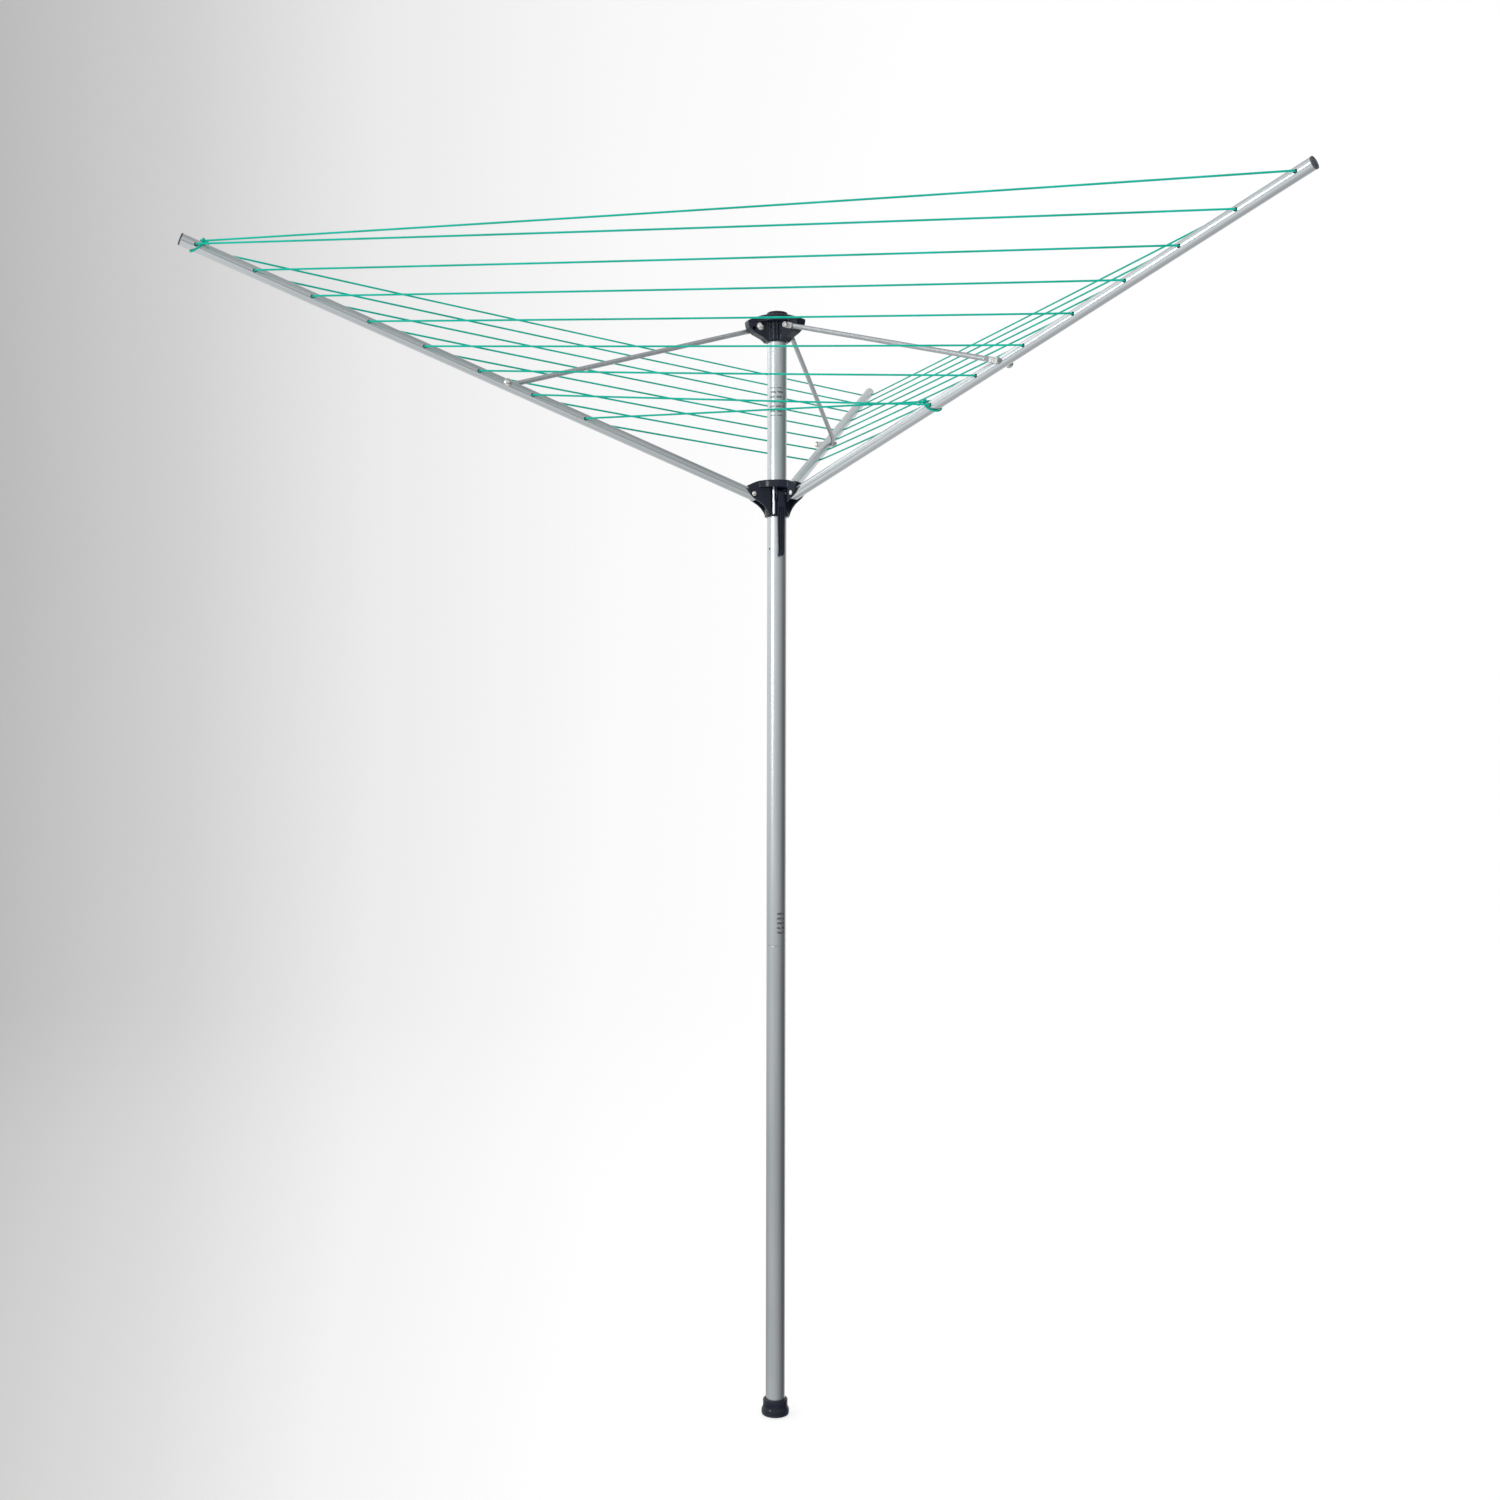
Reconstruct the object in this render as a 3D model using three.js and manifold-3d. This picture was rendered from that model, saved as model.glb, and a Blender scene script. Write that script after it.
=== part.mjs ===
// Three-arm rotary clothesline, standing open. Millimetres, +Z up.
// The origin is the centre of the foot cup's underside. The arms point to 90, 210 and 330 degrees.

import * as THREE from 'three';
import { mergeVertices } from 'three/addons/utils/BufferGeometryUtils.js';
import Module from 'manifold-3d';

// ---------- driving dimensions ----------

const GAP = 0.3; // play between neighbouring pieces
const REACH = 30; // half length of a tool that cuts right through a piece

// mast: two tubes of one diameter, joined over an inner ferrule
const MAST_R = 16;
const MAST_WALL = 1.5;
const MAST_FOOT_Z = 4.4;
const MAST_JOINT_Z = 777;
const MAST_TOP_Z = 1797;
const FERRULE_HALF = 75;
const CATCH_HOLE_Z = 1431;
const CATCH_HOLE_R = 1.6;
const CATCH_HOLE_TURN = -37; // degrees from -Y

// foot cup
const CUP_R = 20.6;
const CUP_FLANGE_R = 23;
const CUP_H = 27;
const CUP_FLANGE_H = 11;
const CUP_FLOOR = 4;
const CUP_PLAY = 0.4; // round the mast, in the cup and in the runner

// arms
const ARM_NAMES = ['back', 'left', 'right'];
const ARM_AZIMUTH = { back: 90, left: 210, right: 330 };
const ARM_PIVOT_R = 43;
const ARM_PIVOT_Z = 1520;
const ARM_ELEVATION = 21.1;
const ARM_R = 9.25;
const ARM_WALL = 1.2;
const ARM_TAIL = 10.75; // tube past its pivot
const ARM_LENGTH = 960; // pivot to tube end
const ARM_PIVOT_BORE = 2.8;
const CAP_FLANGE = 2.2;
const CAP_PLUG = 16;
const RIVET_R = 2.5;
const RIVET_HEAD = 4.2;
const RIVET_HEAD_H = 2.8;

// line holes, numbered from the innermost
const HOLES = 8;
const HOLE_FIRST = 300.5;
const HOLE_PITCH = 91;
const HOLE_R = 3;

// struts, each on the clockwise side of its arm
const ELBOW = 436; // along the arm, from its pivot
const HUB_PIVOT_R = 32;
const HUB_PIVOT_Z = 1795;
const STRUT_R = 4;
const STRUT_SIDE = 15; // from the arm's middle plane
const FLAT_INNER = 10.9;
const FLAT_T = 3;
const FLAT_LENGTH = 12; // from its eye
const FLAT_BLEND = 10; // from flat to round
const EYE_R = 5.4;
const BOLT_R = 2.5;
const BOLT_BORE = 2.8;
const BOLT_HEAD = 6.5;
const BOLT_HEAD_H = 5;
const BOLT_END = 4.2; // past the strut's flat
const NUT_R = 4.7;
const NUT_H = 4;
const WASHER_R = 5.6;
const SPACER_R = 4.8; // between the elbow bolt's head and the arm
const SPACER_LENGTH = 8.7;

// top hub
const LUG_HALF = 10.6;
const LUG_REACH = 53;
const HUB_BASE_Z = 1771.5;
const HUB_RIM_Z = 1803;
const HUB_DOME_Z = 1816;
const HUB_CAP_R = 17.3;
const HUB_CAP_Z = 1822.5;
const HUB_CAP_PLUG = 9;
const HUB_EYE_R = 2.9;
const RIB_STEP = 15; // degrees between the neck's ribs
const RIB_SPREAD = 32; // degrees that they reach to either side of a bay's middle
const RIB_HALF = 0.9;

// runner, measured from the height of the arm pivots
const RUNNER_R = 20.5;
const RUNNER_BASE = -36;
const RUNNER_TOP = 23;
const PLATE_IN = 9.7;
const PLATE_OUT = 13.7;
const RIM_T = 13;
const LEVER_AZIMUTH = 299;
const LEVER_BASE = -102;
const LEVER_TOP = 8;
const LEVER_W = 12;
const LEVER_PIN_Z = 1;
const LEVER_PIN_R = 24; // from the mast's axis
const LEVER_CATCH_Z = -16;
const WINDOW_AZIMUTH = 260; // an upright window in the sleeve, beside the lever
const WINDOW_HALF = 3.7;
const WINDOW_BASE = RUNNER_BASE + 3.4;
const LEVER_BAY = 38; // how far out the runner is cleared for the lever's swing
const PIN_R = 1.5;
const PIN_BORE = 1.8;
const PIN_HALF = 9;
const EAR_T = 2.8;

// line
const CORD_R = 1.5;
const CORD_SIDES = 6;
const CORD_STUB = 10; // straight run through an arm, to either side of its middle
const CORD_TURN = 2.6; // tangent length of a bend
const KNOT_ANGLE = 42; // degrees up the arm's side
const KNOT_BACK = 8; // from the hole, towards the pivot
const KNOT_RISE = 3.1; // from the loop's radius
const KNOT_CORE = 3.5;
const KNOT_RING = 2.7;
const TAIL = [0, 3, 6, 9, 12, 15]; // distances along the loose end

// ---------- materials ----------

const finish = (color, roughness, metalness) => () =>
  new THREE.MeshStandardMaterial({ color, roughness, metalness });

const aluminium = finish(0xb9c0c6, 0.32, 1);
const steel = finish(0xc9c9c6, 0.16, 1);
const rod = finish(0xa4a8ac, 0.35, 1);
const navy = finish(0x1f2230, 0.42, 0);
const cord = finish(0x00b79c, 0.4, 0);

// ---------- solids ----------

const wasm = await Module();
wasm.setup();
const { Manifold, Mesh } = wasm;

// Joins coincident corners and drops the faces that this closes to nothing.
function welded(geometry) {
  const bare = new THREE.BufferGeometry();
  bare.setAttribute('position', geometry.getAttribute('position').clone());
  if (geometry.index) bare.setIndex(geometry.index.clone());
  const merged = mergeVertices(bare, 1e-4);
  const index = merged.index.array;
  const kept = [];
  for (let i = 0; i < index.length; i += 3) {
    const [a, b, c] = [index[i], index[i + 1], index[i + 2]];
    if (a !== b && b !== c && c !== a) kept.push(a, b, c);
  }
  merged.setIndex(kept);
  return merged;
}

function solid(geometry) {
  const g = welded(geometry);
  const made = new Manifold(
    new Mesh({
      numProp: 3,
      vertProperties: new Float32Array(g.attributes.position.array),
      triVerts: new Uint32Array(g.index.array),
    })
  );
  if (made.volume() < 0) throw new Error('a profile runs the wrong way round');
  return made;
}

function geometryOf(shape) {
  const mesh = shape.getMesh();
  const g = new THREE.BufferGeometry();
  const xyz = new Float32Array(mesh.numVert * 3);
  for (let i = 0; i < mesh.numVert; i += 1) {
    for (let k = 0; k < 3; k += 1) xyz[3 * i + k] = mesh.vertProperties[i * mesh.numProp + k];
  }
  g.setAttribute('position', new THREE.BufferAttribute(xyz, 3));
  g.setIndex(new THREE.BufferAttribute(new Uint32Array(mesh.triVerts), 1));
  g.computeVertexNormals();
  return g;
}

const union = (...shapes) => Manifold.union(shapes);

// A solid of revolution about Z. The profile is [radius, z] pairs, running upwards on its outer side.
function turned(profile, segments = 32) {
  const points = profile.map(([r, z]) => new THREE.Vector2(r, z));
  return solid(new THREE.LatheGeometry(points, segments).rotateX(Math.PI / 2));
}

const rod_z = (r, z0, z1, segments = 24) =>
  turned([[0, z0], [r, z0], [r, z1], [0, z1]], segments);

const rod_y = (r, y0, y1, segments = 24) => rod_z(r, -y1, -y0, segments).rotate([90, 0, 0]);

const block = (x0, x1, y0, y1, z0, z1) =>
  solid(
    new THREE.BoxGeometry(x1 - x0, y1 - y0, z1 - z0).translate(
      (x0 + x1) / 2,
      (y0 + y1) / 2,
      (z0 + z1) / 2
    )
  );

// A tube about Z, with small chamfers on its outer edges.
const pipe = (outer, inner, z0, z1, segments = 32, edge = 0.4) =>
  turned(
    [
      [inner, z0],
      [outer - edge, z0],
      [outer, z0 + edge],
      [outer, z1 - edge],
      [outer - edge, z1],
      [inner, z1],
      [inner, z0],
    ],
    segments
  );

function outline(points) {
  const shape = new THREE.Shape();
  points.forEach(([x, y], i) => (i ? shape.lineTo(x, y) : shape.moveTo(x, y)));
  shape.closePath();
  return shape;
}

// A plan outline raised from z0 to z1.
const raised = (points, z0, z1) =>
  solid(
    new THREE.ExtrudeGeometry(outline(points), {
      depth: z1 - z0,
      bevelEnabled: false,
    }).translate(0, 0, z0)
  );

// A side profile of [x, z] pairs, given width from y0 to y1.
const sided = (points, y0, y1) => raised(points, -y1, -y0).rotate([90, 0, 0]);

// A solid skinned over oval rings along X: each is { x, y, across, high }.
function lofted(rings, sides = 12) {
  const xyz = [];
  const faces = [];
  for (const { x, y, across, high } of rings) {
    for (let i = 0; i < sides; i += 1) {
      const a = (2 * Math.PI * i) / sides;
      xyz.push(x, y + across * Math.cos(a), high * Math.sin(a));
    }
  }
  for (let k = 0; k + 1 < rings.length; k += 1) {
    for (let i = 0; i < sides; i += 1) {
      const a = k * sides + i;
      const b = k * sides + ((i + 1) % sides);
      faces.push(a, b, a + sides, b, b + sides, a + sides);
    }
  }
  const last = (rings.length - 1) * sides;
  for (let i = 1; i + 1 < sides; i += 1) {
    faces.push(0, i + 1, i);
    faces.push(last, last + i, last + i + 1);
  }
  const g = new THREE.BufferGeometry();
  g.setAttribute('position', new THREE.Float32BufferAttribute(xyz, 3));
  g.setIndex(faces);
  return solid(g);
}

// A bore along Y, right through whatever stands at x and z.
const bored = (r, x = 0, z = 0, segments = 12) =>
  rod_y(r, -REACH, REACH, segments).translate([x, 0, z]);

// A domed bolt or rivet head on a plane at y, standing out towards +Y.
function head_y(r, y, height) {
  const profile = [[0, 0], [r * 0.94, 0], [r, height * 0.16], [r, height * 0.34]];
  for (let i = 1; i <= 4; i += 1) {
    const a = (i / 4) * (Math.PI / 2);
    profile.push([i === 4 ? 0 : r * Math.cos(a), height * (0.34 + 0.66 * Math.sin(a))]);
  }
  return turned(profile, r > 5 ? 16 : 12).rotate([-90, 0, 0]).translate([0, y, 0]);
}

// ---------- scene graph ----------

const group = new THREE.Group();
group.name = 'rotary_clothesline';

function add(name, shape, material, parent = group) {
  const mesh = new THREE.Mesh(geometryOf(shape), material());
  mesh.name = name;
  parent.add(mesh);
  return mesh;
}

const radians = THREE.MathUtils.degToRad;

// Turns a shape made along +X to the runner's lever.
const at_lever = (shape) => shape.rotate([0, 0, LEVER_AZIMUTH]).translate([0, 0, ARM_PIVOT_Z]);

// ---------- mast ----------

// A small punched hole on the upper tube, just below the opened runner's lever.
const catch_hole = rod_y(CATCH_HOLE_R, -MAST_R - 2, -MAST_R / 2, 12)
  .rotate([0, 0, CATCH_HOLE_TURN])
  .translate([0, 0, CATCH_HOLE_Z]);
const mast_inner = MAST_R - MAST_WALL;
add('lower_mast_tube', pipe(MAST_R, mast_inner, MAST_FOOT_Z, MAST_JOINT_Z - GAP / 2), aluminium);
add(
  'upper_mast_tube',
  pipe(MAST_R, mast_inner, MAST_JOINT_Z + GAP / 2, MAST_TOP_Z).subtract(catch_hole),
  aluminium
);
add(
  'mast_ferrule',
  pipe(mast_inner - GAP, mast_inner - 2, MAST_JOINT_Z - FERRULE_HALF, MAST_JOINT_Z + FERRULE_HALF),
  aluminium
);

// The cup's collar stands round the mast, and its flange rests in the ground socket.
add(
  'foot_cup',
  turned(
    [
      [0, 0],
      [CUP_FLANGE_R - 3, 0],
      [CUP_FLANGE_R - 0.8, 1.4],
      [CUP_FLANGE_R, 4],
      [CUP_FLANGE_R, CUP_FLANGE_H - 1.5],
      [CUP_FLANGE_R - 0.9, CUP_FLANGE_H + 1],
      [CUP_R + 0.3, CUP_FLANGE_H + 3],
      [CUP_R, CUP_FLANGE_H + 5],
      [CUP_R, CUP_H - 0.9],
      [CUP_R - 0.9, CUP_H],
      [MAST_R + 1.6, CUP_H],
      [MAST_R + CUP_PLAY, CUP_H - 2],
      [MAST_R + CUP_PLAY, CUP_FLOOR],
      [0, CUP_FLOOR],
    ],
    32
  ),
  navy
);

// ---------- plan outline shared by both hubs ----------

// Three lobes of the given reach and half width, with shallow bays between them.
function lobes(reach, half, corner, bay) {
  const points = [];
  for (const name of ARM_NAMES) {
    const turn = radians(ARM_AZIMUTH[name]);
    const local = [[reach - corner, -half], [reach - corner * 0.3, -half + corner * 0.3]];
    local.push([reach, -half + corner], [reach, half - corner]);
    local.push([reach - corner * 0.3, half - corner * 0.3], [reach - corner, half]);
    for (const [x, y] of local) {
      const c = Math.cos(turn);
      const s = Math.sin(turn);
      points.push([x * c - y * s, x * s + y * c]);
    }
    for (const step of [42, 60, 78]) {
      const r = step === 60 ? bay : bay + 1;
      points.push([r * Math.cos(turn + radians(step)), r * Math.sin(turn + radians(step))]);
    }
  }
  return points;
}

const around = (shape) =>
  union(...ARM_NAMES.map((name) => shape.rotate([0, 0, ARM_AZIMUTH[name]])));

// ---------- top hub ----------

// A low dome over three lugs and a ribbed neck. Each lug has a strut bolt bore and a small eye.
function top_hub() {
  const swell = turned(
    [
      [0, HUB_RIM_Z - 2],
      [70, HUB_RIM_Z - 2],
      [LUG_REACH, HUB_RIM_Z + 1.6],
      [45, HUB_RIM_Z + 5.4],
      [34, HUB_RIM_Z + 9.6],
      [24, HUB_DOME_Z - 1],
      [HUB_CAP_R, HUB_DOME_Z],
      [0, HUB_DOME_Z],
    ],
    36
  );
  const plan = lobes(LUG_REACH, LUG_HALF + 1.2, 6, 36);
  const dome = raised(plan, HUB_RIM_Z - 1, HUB_DOME_Z).intersect(swell);
  const neck = turned(
    [
      [0, HUB_BASE_Z],
      [18.6, HUB_BASE_Z],
      [19.4, HUB_BASE_Z + 1],
      [22.5, HUB_RIM_Z],
      [0, HUB_RIM_Z],
    ],
    36
  );
  const side = [
    [12, HUB_BASE_Z],
    [18.8, HUB_BASE_Z],
    [26, HUB_BASE_Z + 6],
    [41, HUB_BASE_Z + 13],
    [50, HUB_BASE_Z + 20],
    [LUG_REACH - 0.8, HUB_BASE_Z + 26],
    [LUG_REACH, HUB_RIM_Z],
    [12, HUB_RIM_Z],
  ];
  const lug = sided(side, -LUG_HALF, LUG_HALF);
  const rib = [
    [16, HUB_BASE_Z + 4],
    [20.6, HUB_BASE_Z + 4],
    [24, HUB_RIM_Z],
    [16, HUB_RIM_Z],
  ];
  const ribs = [];
  for (let angle = 0; angle < 360; angle += RIB_STEP) {
    const from_bay = Math.abs(((angle - ARM_AZIMUTH.back + 360) % 120) - 60);
    if (from_bay <= RIB_SPREAD) ribs.push(sided(rib, -RIB_HALF, RIB_HALF).rotate([0, 0, angle]));
  }
  const bolt_way = bored(BOLT_BORE, HUB_PIVOT_R, HUB_PIVOT_Z);
  const eye = bored(HUB_EYE_R, HUB_PIVOT_R + 10.5, HUB_PIVOT_Z - 3.4);
  return union(dome, neck, around(lug), ...ribs)
    .subtract(rod_z(MAST_R + GAP, HUB_BASE_Z - 5, MAST_TOP_Z + GAP, 36))
    .subtract(rod_z(6.3, MAST_TOP_Z, HUB_DOME_Z + 5, 16))
    .subtract(around(union(bolt_way, eye)));
}
add('top_hub', top_hub(), navy);

// The disc closes the hub, with a short plug into its centre hole.
add(
  'top_cap',
  turned(
    [
      [0, HUB_DOME_Z - HUB_CAP_PLUG],
      [5.4, HUB_DOME_Z - HUB_CAP_PLUG],
      [6, HUB_DOME_Z - HUB_CAP_PLUG + 0.6],
      [6, HUB_DOME_Z + GAP],
      [HUB_CAP_R - 0.6, HUB_DOME_Z + GAP],
      [HUB_CAP_R, HUB_DOME_Z + 1],
      [HUB_CAP_R, HUB_CAP_Z - 2.4],
      [HUB_CAP_R - 1.4, HUB_CAP_Z - 0.9],
      [HUB_CAP_R - 5, HUB_CAP_Z - 0.3],
      [0, HUB_CAP_Z],
    ],
    24
  ),
  navy
);

// ---------- runner ----------

// Sleeve, top rim and a pair of cheek plates for each arm. Heights are from the arm pivots.
function runner() {
  const sleeve = turned(
    [
      [0, RUNNER_BASE],
      [RUNNER_R - 0.7, RUNNER_BASE],
      [RUNNER_R, RUNNER_BASE + 0.9],
      [RUNNER_R, RUNNER_TOP],
      [0, RUNNER_TOP],
    ],
    36
  );
  const swell = turned(
    [
      [0, RUNNER_TOP - RIM_T - 1],
      [70, RUNNER_TOP - RIM_T - 1],
      [70, RUNNER_TOP - 12],
      [LUG_REACH, RUNNER_TOP - 8.6],
      [45, RUNNER_TOP - 4.6],
      [37, RUNNER_TOP - 1.4],
      [28, RUNNER_TOP],
      [0, RUNNER_TOP],
    ],
    36
  );
  const plan = lobes(LUG_REACH, PLATE_OUT, 5, 37);
  const rim = raised(plan, RUNNER_TOP - RIM_T, RUNNER_TOP).intersect(swell);
  const side = [
    [14, RUNNER_BASE + 0.9],
    [15.8, RUNNER_BASE + 0.9],
    [19, -28],
    [23.5, -21.5],
    [29.5, -16],
    [36, -11.8],
    [43, -7.6],
    [49, -2],
    [LUG_REACH - 1, 5],
    [LUG_REACH, RUNNER_TOP - RIM_T],
    [LUG_REACH - 1, RUNNER_TOP - 10],
    [14, RUNNER_TOP - 6],
  ];
  const cheeks = union(sided(side, PLATE_IN, PLATE_OUT), sided(side, -PLATE_OUT, -PLATE_IN));
  const slot = block(23.5, 80, -PLATE_IN, PLATE_IN, RUNNER_BASE - 5, RUNNER_TOP + 5);
  const pivot_way = bored(ARM_PIVOT_BORE, ARM_PIVOT_R);
  const bay = LEVER_W / 2 + 0.5;
  const lever_bay = block(RUNNER_R - 2.2, LEVER_BAY, -bay, bay, RUNNER_BASE - 1, LEVER_TOP + 1);
  const ear = [
    [15, -10],
    [22, -10],
    [27.6, -3],
    [27.6, 5],
    [26, RUNNER_TOP - RIM_T],
    [15, RUNNER_TOP - RIM_T],
  ];
  const ears = union(sided(ear, bay, bay + EAR_T), sided(ear, -bay - EAR_T, -bay));
  const pin_way = rod_y(PIN_BORE, -12, 12, 12).translate([LEVER_PIN_R, 0, LEVER_PIN_Z]);
  const catch_way = block(10, RUNNER_R + 3, -2.8, 2.8, LEVER_CATCH_Z - 4, LEVER_CATCH_Z + 4);
  const opening = block(12, 24, -WINDOW_HALF, WINDOW_HALF, WINDOW_BASE, RUNNER_TOP - RIM_T);
  return union(sleeve, rim, around(cheeks), ears.rotate([0, 0, LEVER_AZIMUTH]))
    .subtract(opening.rotate([0, 0, WINDOW_AZIMUTH]))
    .subtract(around(union(slot, pivot_way)))
    .subtract(union(lever_bay, pin_way, catch_way).rotate([0, 0, LEVER_AZIMUTH]))
    .subtract(rod_z(MAST_R + CUP_PLAY, RUNNER_BASE - 5, RUNNER_TOP + 5, 36))
    .translate([0, 0, ARM_PIVOT_Z]);
}
add('runner', runner(), navy);

// The lever hangs in front of the sleeve. Its grip is ribbed, and its catch points at the mast.
function release_lever() {
  const side = [
    [21, LEVER_TOP - 1],
    [19, LEVER_PIN_Z],
    [19, -30],
    [18.6, -42],
    [18.2, LEVER_BASE + 6],
    [19.5, LEVER_BASE],
    [24, LEVER_BASE],
    [26.5, LEVER_BASE + 5],
    [25.6, -60],
    [26, -34],
    [27.6, -20],
    [27.4, -6],
    [26.6, 4],
    [24, LEVER_TOP],
  ];
  const half = LEVER_W / 2;
  const front = [
    [-half, LEVER_TOP],
    [-half, -30],
    [-half + 1, LEVER_BASE + 4],
    [-half + 3, LEVER_BASE],
    [half - 3, LEVER_BASE],
    [half - 1, LEVER_BASE + 4],
    [half, -30],
    [half, LEVER_TOP],
  ];
  const grip = sided(front, -40, 40).rotate([0, 0, 90]);
  const grooves = [-3, 0, 3].map((y) =>
    block(23.4, 40, y - 0.55, y + 0.55, LEVER_BASE + 8, -24)
  );
  const catch_nose = block(17, 20, -2, 2, LEVER_CATCH_Z - 2.6, LEVER_CATCH_Z + 2.6);
  const pin_way = bored(PIN_BORE, LEVER_PIN_R, LEVER_PIN_Z);
  return union(sided(side, -half, half).intersect(grip), catch_nose).subtract(
    union(pin_way, ...grooves)
  );
}
add('release_lever', at_lever(release_lever()), navy);

const lever_pin = rod_y(PIN_R, -PIN_HALF, PIN_HALF, 12);
add('lever_pin', at_lever(lever_pin.translate([LEVER_PIN_R, 0, LEVER_PIN_Z])), steel);

// ---------- arms, with their caps and fasteners ----------

const hole_at = (number) => HOLE_FIRST + (number - 1) * HOLE_PITCH;

// The tube runs along X from its pivot, drilled straight across for the line.
function arm_tube() {
  const tube = pipe(ARM_R, ARM_R - ARM_WALL, -ARM_TAIL, ARM_LENGTH, 20, 0.3).rotate([0, 90, 0]);
  const tail_x = ARM_R - ARM_TAIL;
  const ends = union(
    block(tail_x, ARM_LENGTH + 1, -ARM_R - 1, ARM_R + 1, -ARM_R - 1, ARM_R + 1),
    rod_y(ARM_R, -ARM_R - 1, ARM_R + 1, 16).translate([tail_x, 0, 0])
  );
  const cuts = [bored(ARM_PIVOT_BORE), bored(BOLT_BORE, ELBOW)];
  for (let n = 1; n <= HOLES; n += 1) cuts.push(bored(HOLE_R, hole_at(n), 0, 8));
  return tube.intersect(ends).subtract(union(...cuts));
}

const arm_cap = turned(
  [
    [0, -CAP_PLUG],
    [ARM_R - ARM_WALL - GAP - 1, -CAP_PLUG],
    [ARM_R - ARM_WALL - GAP, -CAP_PLUG + 2],
    [ARM_R - ARM_WALL - GAP, GAP],
    [ARM_R + 0.4, GAP],
    [ARM_R + 0.75, GAP + 0.6],
    [ARM_R + 0.75, GAP + CAP_FLANGE - 0.7],
    [ARM_R - 0.2, GAP + CAP_FLANGE],
    [ARM_R - 2.4, GAP + CAP_FLANGE + 0.2],
    [0, GAP + CAP_FLANGE + 0.9],
  ],
  20
).rotate([0, 90, 0]);

// One rivet through both cheek plates and the arm.
const rivet_head = head_y(RIVET_HEAD, PLATE_OUT + GAP, RIVET_HEAD_H);
const pivot_rivet = union(
  rod_y(RIVET_R, -PLATE_OUT - 1, PLATE_OUT + 1, 12),
  rivet_head,
  rivet_head.rotate([0, 0, 180])
);

// A domed bolt from the counterclockwise side, ending in the nut beyond the strut's flat.
const flat_outer = FLAT_INNER + FLAT_T;
const bolt = (seat) =>
  union(
    rod_y(BOLT_R, -flat_outer - BOLT_END, seat + 1, 12),
    head_y(BOLT_HEAD, seat, BOLT_HEAD_H)
  );
const nut = turned(
  [
    [0, 0],
    [NUT_R - 0.5, 0],
    [NUT_R, 0.5],
    [NUT_R, NUT_H - 0.9],
    [NUT_R - 1, NUT_H],
    [0, NUT_H],
  ],
  6
)
  .subtract(rod_z(BOLT_BORE, -1, NUT_H + 1, 16))
  .rotate([90, 0, 0])
  .translate([0, -flat_outer - GAP, 0]);
const ring = (r, z0, z1) =>
  turned(
    [
      [BOLT_BORE, z0],
      [r, z0],
      [r, z1],
      [BOLT_BORE, z1],
      [BOLT_BORE, z0],
    ],
    16
  );
const washer = ring(WASHER_R, ARM_R + GAP, FLAT_INNER - GAP).rotate([90, 0, 0]);
const spacer = ring(SPACER_R, ARM_R + GAP, ARM_R + GAP + SPACER_LENGTH).rotate([-90, 0, 0]);
const elbow_seat = ARM_R + SPACER_LENGTH + 2 * GAP;

// ---------- struts ----------

const elevation = radians(ARM_ELEVATION);
const elbow_r = ARM_PIVOT_R + ELBOW * Math.cos(elevation);
const elbow_z = ARM_PIVOT_Z + ELBOW * Math.sin(elevation);
const strut_length = Math.hypot(elbow_r - HUB_PIVOT_R, elbow_z - HUB_PIVOT_Z);
const strut_slope = Math.atan2(HUB_PIVOT_Z - elbow_z, elbow_r - HUB_PIVOT_R);

// A round rod flattened into an eye at either end. It runs along X from the hub bolt.
function strut() {
  const flat_y = -(FLAT_INNER + FLAT_T / 2);
  const round = FLAT_LENGTH + FLAT_BLEND;
  const rings = [
    { x: -EYE_R, y: flat_y, across: FLAT_T / 2, high: EYE_R },
    { x: FLAT_LENGTH, y: flat_y, across: FLAT_T / 2, high: EYE_R * 0.86 },
    {
      x: FLAT_LENGTH + FLAT_BLEND / 2,
      y: (flat_y - STRUT_SIDE) / 2,
      across: STRUT_R * 0.68,
      high: STRUT_R * 1.15,
    },
    { x: round, y: -STRUT_SIDE, across: STRUT_R, high: STRUT_R },
  ];
  const far = rings.map((ring) => ({ ...ring, x: strut_length - ring.x })).reverse();
  const end = rod_y(EYE_R, -REACH, 0, 16);
  const middle = block(0, strut_length, -REACH, 0, -20, 20);
  const ends = union(end, middle, end.translate([strut_length, 0, 0]));
  return lofted([...rings, ...far])
    .intersect(ends)
    .subtract(union(bored(BOLT_BORE), bored(BOLT_BORE, strut_length)));
}

const arm_shape = arm_tube();
const strut_shape = strut();
const arm_frames = {};

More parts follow.
